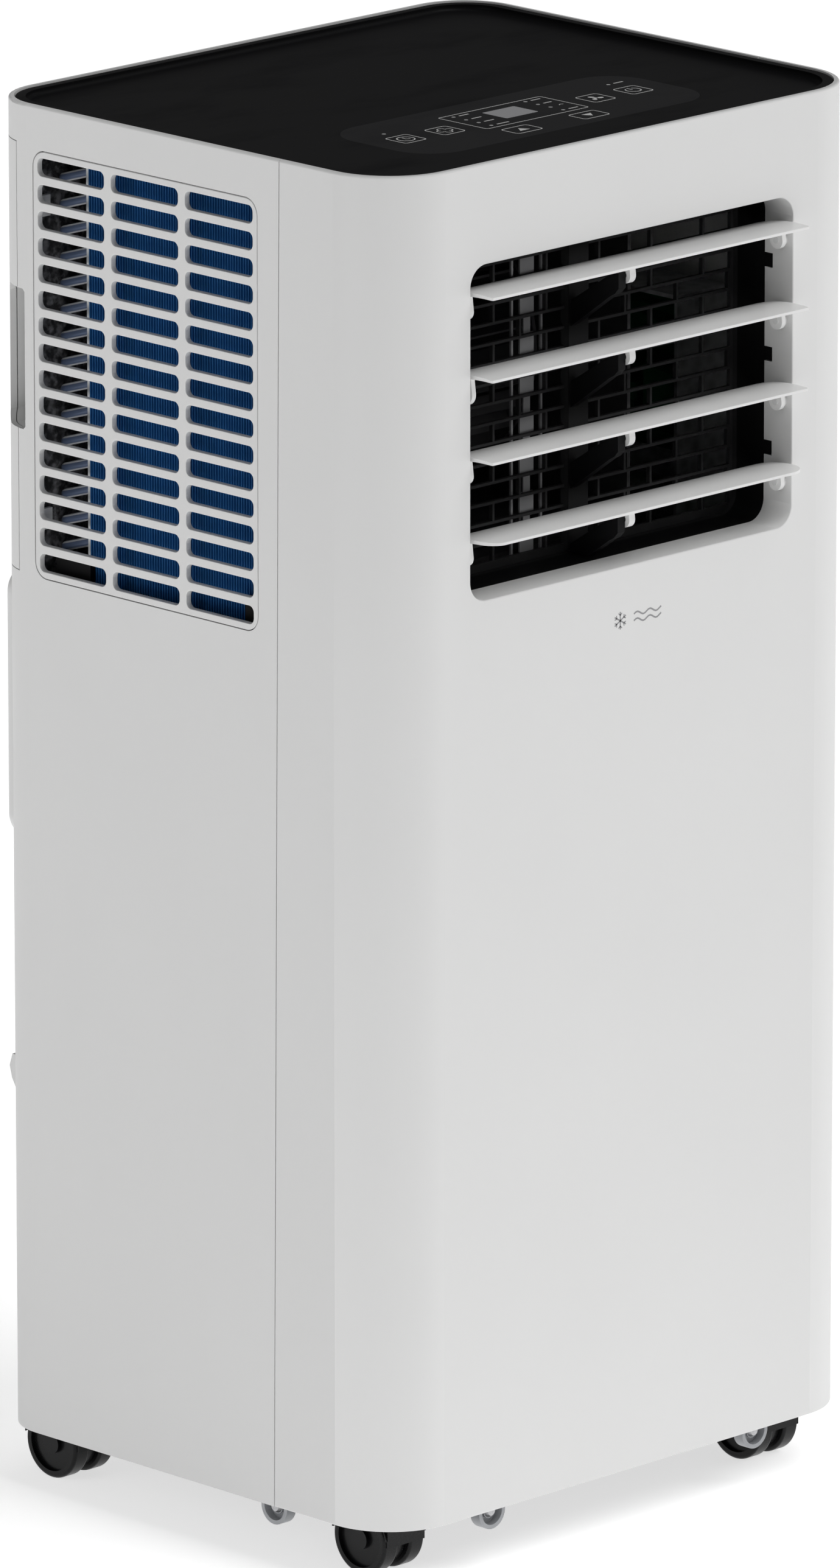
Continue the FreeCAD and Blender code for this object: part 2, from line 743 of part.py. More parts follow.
def guard_cells():
    """The brick pattern's openings: rows of cells, every second row moved by half a brick."""
    cells = []
    w = outlet_width / 2 - duct_wall
    for row, z0 in enumerate(guard_row_heights()):
        x = -w + (0 if row % 2 else -guard_brick / 2)
        while x < w:
            x0, x1 = max(x, -w), min(x + guard_brick - guard_bar, w)
            if x1 - x0 > 4:
                cells.append(box(x0, guard_front_y - 1, z0,
                                 x1, duct_rear_y + 1, z0 + guard_row - guard_bar))
            x += guard_brick
    return cells


def guard_arm(z):
    """The sloping arm that carries a louvre's middle bearing. It passes under the blade's whole swing."""
    reach = guard_front_y - pivot_y + 0.5
    fall = arm_slope * reach
    outline = [(-1.7, -5.5), (-1.7, 1.8), (1.4, 2.1), (reach, 2.1 - fall), (reach, -10.5 - fall),
               (4.0, -10.0), (0.8, -8.2)]
    points = [(pivot_y + a, z + b) for a, b in outline]
    arm = prism("x", points, -arm_thickness - lug_inset, -lug_inset)
    peg = rod(V(-lug_inset - 0.5, pivot_y, z), X_AXIS, pivot_radius,
              centre_lug_thickness + 2 * lug_inset + 0.9)
    return arm.fuse(peg)


def outlet_guard():
    plate = outlet_opening(-0.3, guard_front_y, duct_rear_y)
    plate = plate.cut(Part.makeCompound(guard_cells()))
    w = guard_post_width / 2
    post = box(-w, guard_front_y - guard_post_depth + guard_thickness, outlet_bottom + 1.5,
               w, duct_rear_y, outlet_top - 1.5)
    clear = []
    for z in pivot_heights:
        clear.append(guard_arm(z))
    inside = outlet_opening(-0.5, front_y, duct_rear_y)
    return fuse_all([plate, post] + [arm.common(inside) for arm in clear])


def outlet_brace():
    """A toothed strip with a wire on each side, behind the guard. It braces the guard's long rows."""
    y0 = duct_rear_y
    z0, z1 = outlet_bottom - 1, outlet_top + 1
    pieces = [box(brace_x - brace_core / 2, y0, z0, brace_x + brace_core / 2, y0 + brace_thickness, z1)]
    for z in guard_row_heights()[::2]:
        pieces.append(box(brace_x - brace_tooth / 2, y0, z, brace_x + brace_tooth / 2,
                          y0 + brace_thickness, z + guard_row))
    for x in (brace_x - brace_wire_reach, brace_x + brace_wire_reach):
        pieces.append(box(x - brace_wire / 2, y0, z0, x + brace_wire / 2, y0 + brace_wire, z1))
    for end in (z0, z1 - 2.5):
        pieces.append(box(brace_x - brace_wire_reach, y0, end, brace_x + brace_wire_reach,
                          y0 + brace_thickness, end + 2.5))
    return fuse_all(pieces)


def louvre(index):
    """One blade with its two end lugs, its middle lug and its crank for the link, tilted as it rests."""
    half = louvre_width / 2
    top = louvre_offset - louvre_camber
    under = top - louvre_edge
    mid = (louvre_rear - louvre_front) / 2
    above = louvre_offset + 5.0
    a, b = V(-half, -louvre_front, top), V(-half, louvre_rear, top)
    c, d = V(-half, louvre_rear, under), V(-half, -louvre_front, under)
    crown = V(-half, mid, louvre_offset)
    hollow = V(-half, mid, louvre_offset - louvre_thickness)
    outline = Part.Wire([Part.Arc(a, crown, b).toShape(), Part.LineSegment(b, c).toShape(),
                         Part.Arc(c, hollow, d).toShape(), Part.LineSegment(d, a).toShape()])
    blade = Part.Face(outline).extrude(V(louvre_width, 0, 0))
    front = louvre_corner if index == louvre_count - 1 else 0.8
    rear = louvre_corner if index == 0 else 0.8
    plan = rounded_prism("z", -half, -louvre_front - 0.01, half, louvre_rear + 0.01,
                         (front, front, rear, rear), -10, above)
    blade = blade.common(plan)
    notch = box(link_x - link_thickness / 2 - link_side_clearance, 4.0, -10,
                link_x + link_thickness / 2 + link_side_clearance - 0.3, louvre_rear + 1, above)
    blade = blade.cut(notch)

    def lug(x0, x1, y, z, radius):
        wall = box(x0, y - radius, z, x1, y + radius, above).fuse(rod(V(x0, y, z), X_AXIS, radius, x1 - x0))
        return wall.cut(above_skin())

    def above_skin():
        arc = Part.Arc(a, crown, b).toShape()
        lid = Part.Wire([arc, Part.LineSegment(b, V(-half, louvre_rear, 40)).toShape(),
                         Part.LineSegment(V(-half, louvre_rear, 40), V(-half, -louvre_front, 40)).toShape(),
                         Part.LineSegment(V(-half, -louvre_front, 40), a).toShape()])
        body = Part.Face(lid).extrude(V(louvre_width, 0, 0))
        body.translate(V(0, 0, -louvre_edge / 2))
        return body

    crank_x0 = link_x + link_thickness / 2 + link_side_clearance
    outer = half - lug_inset
    driven = index == driven_louvre
    pieces = [blade,
              lug(outer - lug_thickness, outer, 0, 0, lug_radius),
              lug(-outer, -outer + lug_thickness, 0, 0, drive_lug_radius if driven else lug_radius),
              lug(lug_inset, lug_inset + centre_lug_thickness, 0, 0, lug_radius),
              lug(crank_x0, crank_x0 + 2.0, link_pin_back, -link_pin_down, 2.6)]
    whole = fuse_all(pieces)
    hole_start = 0 if driven else -half - 1
    whole = whole.cut(rod(V(hole_start, 0, 0), X_AXIS, pivot_radius + running_clearance,
                          half + 1 - hole_start))
    pin = rod(V(link_x - link_thickness / 2 - 0.5, link_pin_back, -link_pin_down), X_AXIS, link_pin_radius,
              link_thickness + link_side_clearance + 1.5)
    whole = whole.fuse(pin).removeSplitter()
    whole.rotate(V(0, 0, 0), X_AXIS, -louvre_rest_tilt)
    whole.translate(V(0, pivot_y, pivot_heights[index]))
    return whole.fuse(drive_shaft(pivot_radius)).removeSplitter() if driven else whole


def link_pin_place(index):
    """Where a louvre's crank pin is at rest, as (y, z)."""
    tilt = math.radians(-louvre_rest_tilt)
    y = link_pin_back * math.cos(tilt) + link_pin_down * math.sin(tilt)
    z = link_pin_back * math.sin(tilt) - link_pin_down * math.cos(tilt)
    return pivot_y + y, pivot_heights[index] + z


def louvre_link():
    y, low = link_pin_place(louvre_count - 1)
    high = link_pin_place(0)[1]
    x0, x1 = link_x - link_thickness / 2, link_x + link_thickness / 2
    edge = link_width / 2
    bar = rounded_prism("x", y - edge, low - edge, y + edge, high + edge, edge - 0.05, x0, x1)
    holes = [rod(V(x0 - 1, y, link_pin_place(i)[1]), X_AXIS, link_pin_radius + running_clearance,
                 link_thickness + 2) for i in range(louvre_count)]
    return bar.cut(Part.makeCompound(holes))


# ---- cold section -------------------------------------------------------------------------------
def evaporator_fins():
    return box(coil_x0, coil_front_y, coil_bottom, coil_x1, coil_rear_y, coil_top)


def end_plates():
    """Folded sheet plates at both ends of the evaporator and of the condenser."""
    plates = []
    for y0 in (coil_front_y - end_plate, coil_rear_y):
        plates.append(box(coil_x0, y0, coil_bottom, coil_x1 + plate_lip, y0 + end_plate, coil_top))
    y0 = condenser_rear_y - condenser_thickness
    half = condenser_width / 2
    for x0 in (-half - end_plate, half):
        plates.append(box(x0, y0 - plate_lip, condenser_bottom,
                          x0 + end_plate, condenser_rear_y, condenser_top))
    return plates


def bend_heights():
    rows = int((coil_top - coil_bottom - bend_first - bend_drop) / bend_pitch) + 1
    return [coil_bottom + bend_first + row * bend_pitch for row in range(rows)]


def evaporator_tubes():
    """Return bends at the rear end of the evaporator, each one sloping down as it leaves the end plate."""
    bends = []
    start_y = coil_rear_y + end_plate
    xa, xb = coil_x0 + 5.0, coil_x1 - 7.0
    for z in bend_heights():
        low = z - bend_drop
        points = [V(xa, start_y, z), V(xa, start_y + bend_reach, low), V(xb, start_y + bend_reach, low),
                  V(xb, start_y, z)]
        bend = swept_pipe(points, bend_radius, bend_corner)
        bends.append(bend.cut(box(xa - 9, start_y - 9, low - 9, xb + 9, start_y, z + 9)))
    return bends


def insulation_pad():
    """A foam sheet that stands on the shelf behind the return bends and closes the way round the coil."""
    x0 = -half_width + shell_wall + shell_gap
    y0 = coil_rear_y + end_plate + bend_reach + bend_radius + pad_gap
    return box(x0, y0, deck_height, x0 + pad_width, y0 + pad_thickness, coil_top)


def drip_tray():
    """The trough under the evaporator, with two splash guards that stand up in front of the fins."""
    z1 = coil_bottom - drip_tray_gap
    z0 = z1 - drip_tray_depth
    x0, x1 = coil_x0 - 3, coil_x1 + 9
    y0, y1 = coil_front_y - tray_end_front, coil_rear_y + tray_end_rear
    tray = box(x0, y0, z0, x1, y1, z1).cut(box(x0 + 2, y0 + 2, z0 + 2, x1 - 2, y1 - 2, z1 + 1))
    rests = [box(x0 + 1, y - 2, z0 + 1, x1 - 1, y + 2, z1) for y in (coil_front_y + 4, coil_rear_y - 4)]
    guards = [box(x0, coil_front_y + start, z1 - 3, coil_x0, coil_front_y + end, z1 + height)
              for start, end, height in (splash_front, splash_rear)]
    return fuse_all([tray] + rests + guards)


def fan_scroll(x0, x1, y, z, radius, direction, mouth_y, mouth_z0, mouth_z1, mouth_half,
               motor_hole, seat_z):
    """A drum open at one side for the air, joined to a mouth that points along direction (+1 or -1 in Y),
    with two feet that reach the shelf at seat_z."""
    wall = scroll_wall
    drum = rod(V(x0, y, z), X_AXIS, radius, x1 - x0)
    inner = rod(V(x0 + wall, y, z), X_AXIS, radius - wall, x1 - x0 - 2 * wall)
    y_from, y_to = sorted((y, mouth_y))
    throat = box(max(x0, -mouth_half), y_from, mouth_z0, min(x1, mouth_half), y_to, mouth_z1)
    hollow = box(max(x0, -mouth_half) + wall, y_from - (0 if direction > 0 else 1), mouth_z0 + wall,
                 min(x1, mouth_half) - wall, y_to + (1 if direction > 0 else 0), mouth_z1 - wall)
    seat_low, seat_high = sorted((z, seat_z))
    feet = [box(foot_x, foot_y - foot_thickness / 2, seat_low,
                foot_x + foot_length, foot_y + foot_thickness / 2, seat_high)
            for foot_x in (x0 + 4, x1 - 4 - foot_length)
            for foot_y in (y - foot_spread * radius, y + foot_spread * radius)]
    scroll = fuse_all([drum, throat] + feet).cut(inner).cut(hollow)
    scroll = scroll.cut(rod(V(x0 - 1, y, z), X_AXIS, inlet_radius * radius / scroll_radius, wall + 2))
    return scroll.cut(rod(V(x1 - wall - 1, y, z), X_AXIS, motor_hole, wall + 2))


def fan_wheel(x0, x1, y, z, radius, blades):
    """A squirrel-cage wheel: a back plate with a hub, blades, and a ring at the open end."""
    ring = tube(V(x0, y, z), X_AXIS, radius, radius - wheel_ring, wheel_plate)
    plate = rod(V(x1 - wheel_plate, y, z), X_AXIS, radius, wheel_plate)
    hub = rod(V(x1 - wheel_hub_length, y, z), X_AXIS, wheel_hub_radius, wheel_hub_length)
    pieces = [ring, plate, hub]
    half = wheel_blade_thickness / 2
    for i in range(blades):
        blade = box(x0, y - half, z + radius - wheel_ring - 0.5, x1, y + half, z + radius - 0.8)
        blade.rotate(V(x0, y, z + radius - 5), X_AXIS, wheel_blade_twist)
        blade.rotate(V(x0, y, z), X_AXIS, 360.0 * i / blades)
        pieces.append(blade)
    wheel = fuse_all(pieces)
    return wheel.cut(rod(V(x0 - 1, y, z), X_AXIS, shaft_radius, x1 - x0 + 2))


def fan_motor(x0, y, z, radius, length):
    """A can with end caps and a hole that the shaft runs in."""
    can = rod(V(x0, y, z), X_AXIS, radius, length)
    cap = rod(V(x0 + length, y, z), X_AXIS, radius * 0.45, 6)
    nose = rod(V(x0 - 5, y, z), X_AXIS, radius * 0.4, 6)
    motor = fuse_all([can, cap, nose])
    return motor.cut(rod(V(x0 - 6, y, z), X_AXIS, shaft_radius + running_clearance,
                         length + 9 - motor_end_wall))


def cold_scroll():
    return fan_scroll(scroll_x0, scroll_x1, blower_y, blower_z, scroll_radius, -1,
                      duct_rear_y + mouth_gap, outlet_bottom + mouth_inset, outlet_top - mouth_inset,
                      outlet_width / 2, motor_radius * motor_hole_share, deck_height)


def cold_wheel():
    return fan_wheel(blower_wheel_x0, blower_wheel_x1, blower_y, blower_z,
                     blower_wheel_radius, blower_blades)


def fan_shaft(wheel_x1, y, z, motor_end):
    """A steel shaft from the wheel's hub to just short of the motor's far end."""
    x0, x1 = wheel_x1 - wheel_hub_length, motor_end - motor_end_wall
    return rod(V(x0, y, z), X_AXIS, shaft_radius, x1 - x0)


def cold_shaft():
    return fan_shaft(blower_wheel_x1, blower_y, blower_z, scroll_x1 + motor_stand_off + motor_length)


def cold_motor():
    motor = fan_motor(scroll_x1 + motor_stand_off, blower_y, blower_z, motor_radius, motor_length)
    return fuse_all([motor] + motor_feet(scroll_x1, blower_y, blower_z, motor_radius))


def motor_feet(wall_x, y, z, radius):
    """Three feet that hold a motor to the face of its scroll."""
    feet = []
    for angle in (90, 210, 330):
        foot = box(wall_x + 0.0, y - 4, z + radius - 6, wall_x + 14, y + 4, z + radius + 2)
        foot.rotate(V(wall_x, y, z), X_AXIS, angle)
        feet.append(foot)
    return feet


def mid_deck():
    """The shelf between the cold section and the hot one, with a hole for the suction pipe."""
    deck = cabinet_prism(shell_wall + shell_gap, deck_height - deck_thickness, deck_height)
    x, y = coil_x1 - 8, accumulator_place()[1]
    below = deck_height - deck_thickness - 1
    return deck.cut(rod(V(x, y, below), Z_AXIS, pipe_radius + 1.0, deck_thickness + 2))


def electrical_box():
    wall = electrical_box_wall
    x1, y0, z0 = electrical_box_x1, electrical_box_y0, deck_height
    x0, y1, z1 = x1 - electrical_box_width, y0 + electrical_box_length, z0 + electrical_box_height
    return box(x0, y0, z0, x1, y1, z1).cut(box(x0 - 1, y0 + wall, z0 + wall, x1 - wall, y1 - wall, z1 - wall))


def capacitor():
    x = electrical_box_x1 - electrical_box_wall - capacitor_radius
    z = deck_height + electrical_box_wall + capacitor_radius + 0.2
    y = electrical_box_gap - capacitor_length / 2
    return rod(V(x, y, z), Y_AXIS, capacitor_radius - 0.2, capacitor_length)


def control_relay_board():
    """The power board on its two posts, with a transformer, a relay and a filter block."""
    x1, y0 = electrical_box_x1, electrical_box_y0
    board = box(x1 - 7, y0 + 6, deck_height + 44, x1 - 5.4, y0 + electrical_box_length - 6,
                deck_height + electrical_box_height - 8)
    blocks = [box(x1 - 22, y0 + 14, deck_height + 60, x1 - 6.8, y0 + 34, deck_height + 88),
              box(x1 - 18, y0 + 44, deck_height + 62, x1 - 6.8, y0 + 62, deck_height + 76),
              box(x1 - 24, y0 + 68, deck_height + 66, x1 - 6.8, y0 + 90, deck_height + 96)]
    posts = [box(x1 - 5.6, y0 + 6, z, x1 - electrical_box_wall, y0 + 12, z + 6)
             for z in (deck_height + 48, deck_height + electrical_box_height - 16)]
    return fuse_all([board] + blocks + posts)


# ---- hot section --------------------------------------------------------------------------------
def exhaust_scroll():
    half = min(port_radius, exhaust_scroll_radius) - 2
    return fan_scroll(exhaust_scroll_x0, exhaust_scroll_x1, exhaust_y, exhaust_z, exhaust_scroll_radius, 1,
                      rear_y - shell_wall - shell_gap, port_z - exhaust_mouth_half_height,
                      port_z + exhaust_mouth_half_height, half, exhaust_motor_radius * motor_hole_share,
                      deck_height - deck_thickness)


def exhaust_wheel():
    return fan_wheel(exhaust_wheel_x0, exhaust_wheel_x1, exhaust_y, exhaust_z,
                     exhaust_wheel_radius, exhaust_blades)


def exhaust_shaft():
    return fan_shaft(exhaust_wheel_x1, exhaust_y, exhaust_z,
                     exhaust_scroll_x1 + motor_stand_off + exhaust_motor_length)


def exhaust_motor():
    motor = fan_motor(exhaust_scroll_x1 + motor_stand_off, exhaust_y, exhaust_z,
                      exhaust_motor_radius, exhaust_motor_length)
    return fuse_all([motor] + motor_feet(exhaust_scroll_x1, exhaust_y, exhaust_z, exhaust_motor_radius))


def exhaust_outlet():
    """The raised box on the back with the round port that the hose's collar pushes into."""
    w = box_width / 2
    outer = rounded_prism("y", -w, box_bottom, w, box_top, box_radius, rear_y, box_rear_y)
    rim = [e for e in outer.Edges if e.BoundBox.YMin > box_rear_y - 0.01]
    outer = outer.makeFillet(box_edge_radius, rim)
    inner = rounded_prism("y", -w + box_wall, box_bottom + box_wall, w - box_wall, box_top - box_wall,
                          box_radius - box_wall, rear_y - 1, box_rear_y - box_wall)
    hollow = outer.cut(inner)
    collar = rod(V(0, box_rear_y - port_length, port_z), Y_AXIS, port_radius + port_collar, port_length)
    hole = rod(V(0, rear_y - 1, port_z), Y_AXIS, port_radius, box_reach + 2)
    return hollow.fuse(collar).cut(hole).removeSplitter()


def condenser_fins():
    half = condenser_width / 2
    return box(-half, condenser_rear_y - condenser_thickness, condenser_bottom,
               half, condenser_rear_y, condenser_top)


def condenser_tubes():
    """Return bends at both ends of the condenser."""
    half = condenser_width / 2 + end_plate
    ya, yb = condenser_rear_y - condenser_thickness + 7, condenser_rear_y - 7
    rows = int((condenser_top - condenser_bottom - 10) / condenser_bend_pitch)
    far = half + condenser_bend_reach
    bends = []
    for row in range(rows):
        z = condenser_bottom + condenser_bend_first + row * condenser_bend_pitch
        points = [V(half, ya, z), V(far, ya, z), V(far, yb, z), V(half, yb, z)]
        bend = swept_pipe(points, condenser_bend_radius, 8.0)
        bends += [bend, mirrored_x(bend)]
    return bends


def compressor_bolt_places():
    places = []
    for angle in compressor_bolt_angles:
        a = math.radians(angle)
        places.append((compressor_x + compressor_foot_radius * math.cos(a),
                       compressor_y + compressor_foot_radius * math.sin(a)))
    return places


def compressor():
    foot_z = compressor_bottom - compressor_foot_thickness
    centre = V(compressor_x, compressor_y, compressor_bottom)
    shell = rod(centre, Z_AXIS, compressor_radius, compressor_height)
    rims = [e for e in shell.Edges if e.BoundBox.ZLength < 0.01]
    shell = shell.makeFillet(compressor_dome, rims)
    arms = []
    holes = []
    for x, y in compressor_bolt_places():
        arms.append(rod(V(x, y, foot_z), Z_AXIS, compressor_arm_radius, compressor_foot_thickness))
        angle = math.degrees(math.atan2(y - compressor_y, x - compressor_x))
        arm = box(0, -compressor_arm_radius, foot_z,
                  compressor_foot_radius, compressor_arm_radius, compressor_bottom)
        arm.rotate(V(0, 0, 0), Z_AXIS, angle)
        arm.translate(V(compressor_x, compressor_y, 0))
        arms.append(arm)
        holes.append(rod(V(x, y, foot_z - 1), Z_AXIS, grommet_waist, compressor_foot_thickness + 2))
    cradle = rod(V(compressor_x, compressor_y, foot_z), Z_AXIS, compressor_radius - 14,
                 compressor_foot_thickness + 3)
    terminal = box(compressor_x - 14, compressor_y - 14, compressor_bottom + compressor_height - 3,
                   compressor_x + 14, compressor_y + 14, compressor_bottom + compressor_height + 14)
    body = fuse_all([shell, cradle, terminal] + arms)
    return body.cut(Part.makeCompound(holes))


def compressor_grommets():
    """Rubber feet, each a waisted bush in a hole of the compressor's base."""
    solids = []
    floor = base_floor + base_thickness
    foot_z = compressor_bottom - compressor_foot_thickness
    for x, y in compressor_bolt_places():
        lower = rod(V(x, y, floor), Z_AXIS, grommet_radius, foot_z - floor)
        waist = rod(V(x, y, foot_z - 0.5), Z_AXIS, grommet_waist - 0.1, compressor_foot_thickness + 1)
        upper = rod(V(x, y, compressor_bottom), Z_AXIS, grommet_radius - 1, grommet_top)
        bush = fuse_all([lower, waist, upper])
        solids.append(bush.cut(rod(V(x, y, floor - 1), Z_AXIS, bolt_radius + 0.1, 40)))
    return solids


def compressor_bolts():
    solids = []
    floor = base_floor + base_thickness
    for x, y in compressor_bolt_places():
        top = compressor_bottom + grommet_top
        shank = rod(V(x, y, floor), Z_AXIS, bolt_radius, top - floor)
        washer = rod(V(x, y, top), Z_AXIS, grommet_radius - 1, 1.5)
        head = rod(V(x, y, top + 1.5), Z_AXIS, 5.0, 4.0)
        solids.append(fuse_all([shank, washer, head]))
    return solids


def accumulator_place():
    away = compressor_radius + accumulator_gap + accumulator_radius
    angle = math.radians(accumulator_angle)
    return compressor_x + away * math.cos(angle), compressor_y + away * math.sin(angle)


def beside_compressor(shape):
    """The shape without whatever lies inside the compressor's round wall."""
    return shape.cut(rod(V(compressor_x, compressor_y, 0), Z_AXIS, compressor_radius, cabinet_height))


def accumulator():
    x, y = accumulator_place()
    can = rod(V(x, y, accumulator_bottom), Z_AXIS, accumulator_radius, accumulator_height)
    rims = [e for e in can.Edges if e.BoundBox.ZLength < 0.01]
    can = can.makeFillet(10.0, rims)
    strap = box(0, -8, accumulator_bottom + 50,
                accumulator_radius + accumulator_gap + 6, 8, accumulator_bottom + 66)
    strap.rotate(V(0, 0, 0), Z_AXIS, accumulator_angle + 180)
    strap.translate(V(x, y, 0))
    return fuse_all([can, beside_compressor(strap)])


def refrigerant_pipes():
    """Copper runs: compressor to condenser, accumulator to compressor, and evaporator to accumulator."""
    ax, ay = accumulator_place()
    top = compressor_bottom + compressor_height
    over = top + 22
    x, y = condenser_width / 2 + end_plate, condenser_rear_y - condenser_thickness + 7
    z = condenser_top - 14
    start = compressor_x + 20
    discharge = swept_pipe([V(start, compressor_y, top), V(start, compressor_y, over),
                            V(x + 13, compressor_y, over), V(x + 13, y, over), V(x + 13, y, z), V(x, y, z)],
                           pipe_radius, 6.0)
    low = V(ax, ay, accumulator_bottom - 26)
    inward = V(compressor_x - ax, compressor_y - ay, 0).normalize()
    suction = swept_pipe([V(ax, ay, accumulator_bottom), low,
                          low + inward * (accumulator_radius + accumulator_gap + 4)], pipe_radius, 12.0)
    x, level, height = coil_x1 - 8, deck_height - 24, coil_bottom + 14
    back = swept_pipe([V(ax, ay, accumulator_bottom + accumulator_height), V(ax, ay, level),
                       V(x, ay, level), V(x, ay, height), V(x, coil_front_y - end_plate, height)],
                      pipe_radius, 8.0)
    return [discharge, beside_compressor(suction), back]


# ---- base ---------------------------------------------------------------------------------------
def base_tray():
    inset = shell_wall + shell_gap
    tray = cabinet_prism(inset, base_floor, base_wall_top)
    tray = tray.cut(cabinet_prism(inset + base_wall, base_floor + base_thickness, base_wall_top + 1))
    sockets = [rod(V(x, y, base_floor), Z_AXIS, stem_radius + socket_wall, stem_top + 2 - base_floor)
               for x, y in castors.values()]
    rests = [box(x - 3, condenser_rear_y - condenser_thickness, base_floor + 1,
                 x + 3, condenser_rear_y, condenser_bottom)
             for x in (-condenser_width / 2 + 10, condenser_width / 2 - 10)]
    start = rear_y - drain_length
    spout = rod(V(0, start, drain_z), Y_AXIS, drain_radius + drain_wall, drain_length - shell_wall + 2)
    spout_hole = rod(V(0, start - 2, drain_z), Y_AXIS, drain_radius, drain_length + 6)
    tray = fuse_all([tray, spout] + sockets + rests)
    bores = [rod(V(x, y, base_floor - 1), Z_AXIS, stem_radius + running_clearance,
                 stem_top + 0.5 - base_floor + 1) for x, y in castors.values()]
    return tray.cut(Part.makeCompound(bores + [spout_hole]))


def lug_places():
    """Each fixing lug as (x, y, outward direction)."""
    y_front = front_y + shell_wall + shell_gap
    x_side = half_width - shell_wall - shell_gap
    y_back = rear_y - shell_wall - shell_gap
    return [(-lug_front_x, y_front, -Y_AXIS), (lug_front_x, y_front, -Y_AXIS),
            (-x_side, lug_side_y, -X_AXIS), (x_side, lug_side_y, X_AXIS),
            (-lug_rear_x, y_back, Y_AXIS), (lug_rear_x, y_back, Y_AXIS)]


def fixing_lugs():
    """Dished tabs under the cabinet's edge that hold the shells to the base."""
    solids = []
    for x, y, out in lug_places():
        back = V(x, y, lug_disc_z) - out * lug_disc_thickness
        disc = rod(back, out, lug_disc_radius, lug_disc_thickness)
        side = Z_AXIS.cross(out)
        corner = back - side * lug_disc_radius
        far = V(x, y, base_floor) + side * lug_disc_radius
        tab = box(min(corner.x, far.x), min(corner.y, far.y), lug_disc_z,
                  max(corner.x, far.x), max(corner.y, far.y), base_floor)
        dish = rod(back + out * 2.0, out, lug_disc_radius - 2.0, lug_disc_thickness)
        hole = rod(back - out * 1, out, lug_screw_radius, lug_disc_thickness + 2)
        hub = tube(back, out, 3.6, lug_screw_radius, lug_disc_thickness - lug_screw_depth)
        solids.append(fuse_all([disc.fuse(tab).cut(dish).cut(hole), hub]))
    return solids


def lug_screws():
    solids = []
    for x, y, out in lug_places():
        seat = V(x, y, lug_disc_z) - out * lug_screw_depth
        shank = rod(seat - out * (lug_disc_thickness + 3), out, lug_screw_radius, lug_disc_thickness + 3)
        head = Part.makeCone(3.2, 2.2, 1.6, seat, out)
        solids.append(shank.fuse(head).removeSplitter())
    return solids


def cord_hooks():
    """Two scoops on the back that the power cord can be wound on: deep at the top, open above."""
    solids = []
    top = hook_bottom + hook_height
    lip = rear_y + hook_reach * 0.92
    edge = rear_y + hook_reach * 0.9
    outline = [(rear_y, hook_bottom), (lip, top - 12), (rear_y + hook_reach, top - 6),
               (edge, top), (rear_y, top)]
    pocket = [(rear_y + 3, hook_bottom + 16), (lip - hook_wall - 2, top - 11),
              (edge - hook_wall, top + 1), (rear_y + 3, top + 1)]
    for x in (-hook_x, hook_x):
        body = prism("x", outline, x - hook_width / 2, x + hook_width / 2)
        hollow = prism("x", pocket, x - hook_width / 2 - 1, x + hook_width / 2 + 1)
        solids.append(body.cut(hollow))
    return solids


def cord_gland():
    flange = rod(V(gland_x, rear_y, gland_z), Y_AXIS, gland_radius + 4, 2.5)
    barrel = rod(V(gland_x, rear_y - 8, gland_z), Y_AXIS, gland_radius - 0.3, 9)
    nose = Part.makeCone(gland_radius, gland_radius - 2.5, 7, V(gland_x, rear_y + 2.5, gland_z), Y_AXIS)
    gland = fuse_all([flange, barrel, nose])
    return gland.cut(rod(V(gland_x, rear_y - 9, gland_z), Y_AXIS, cord_radius, 20))


def drain_plug():
    """A rubber stopper with a pull tab in the base's drain spout."""
    y0 = rear_y - 12
    shank = rod(V(0, y0, drain_z), Y_AXIS, drain_radius - 0.06, 14)
    head = rod(V(0, rear_y + 1.0, drain_z), Y_AXIS, drain_radius + 3.5, 3)
    tab = box(-2, rear_y + 3.5, drain_z - 6, 2, rear_y + 9, drain_z + 6)
    return fuse_all([shank, head, tab])


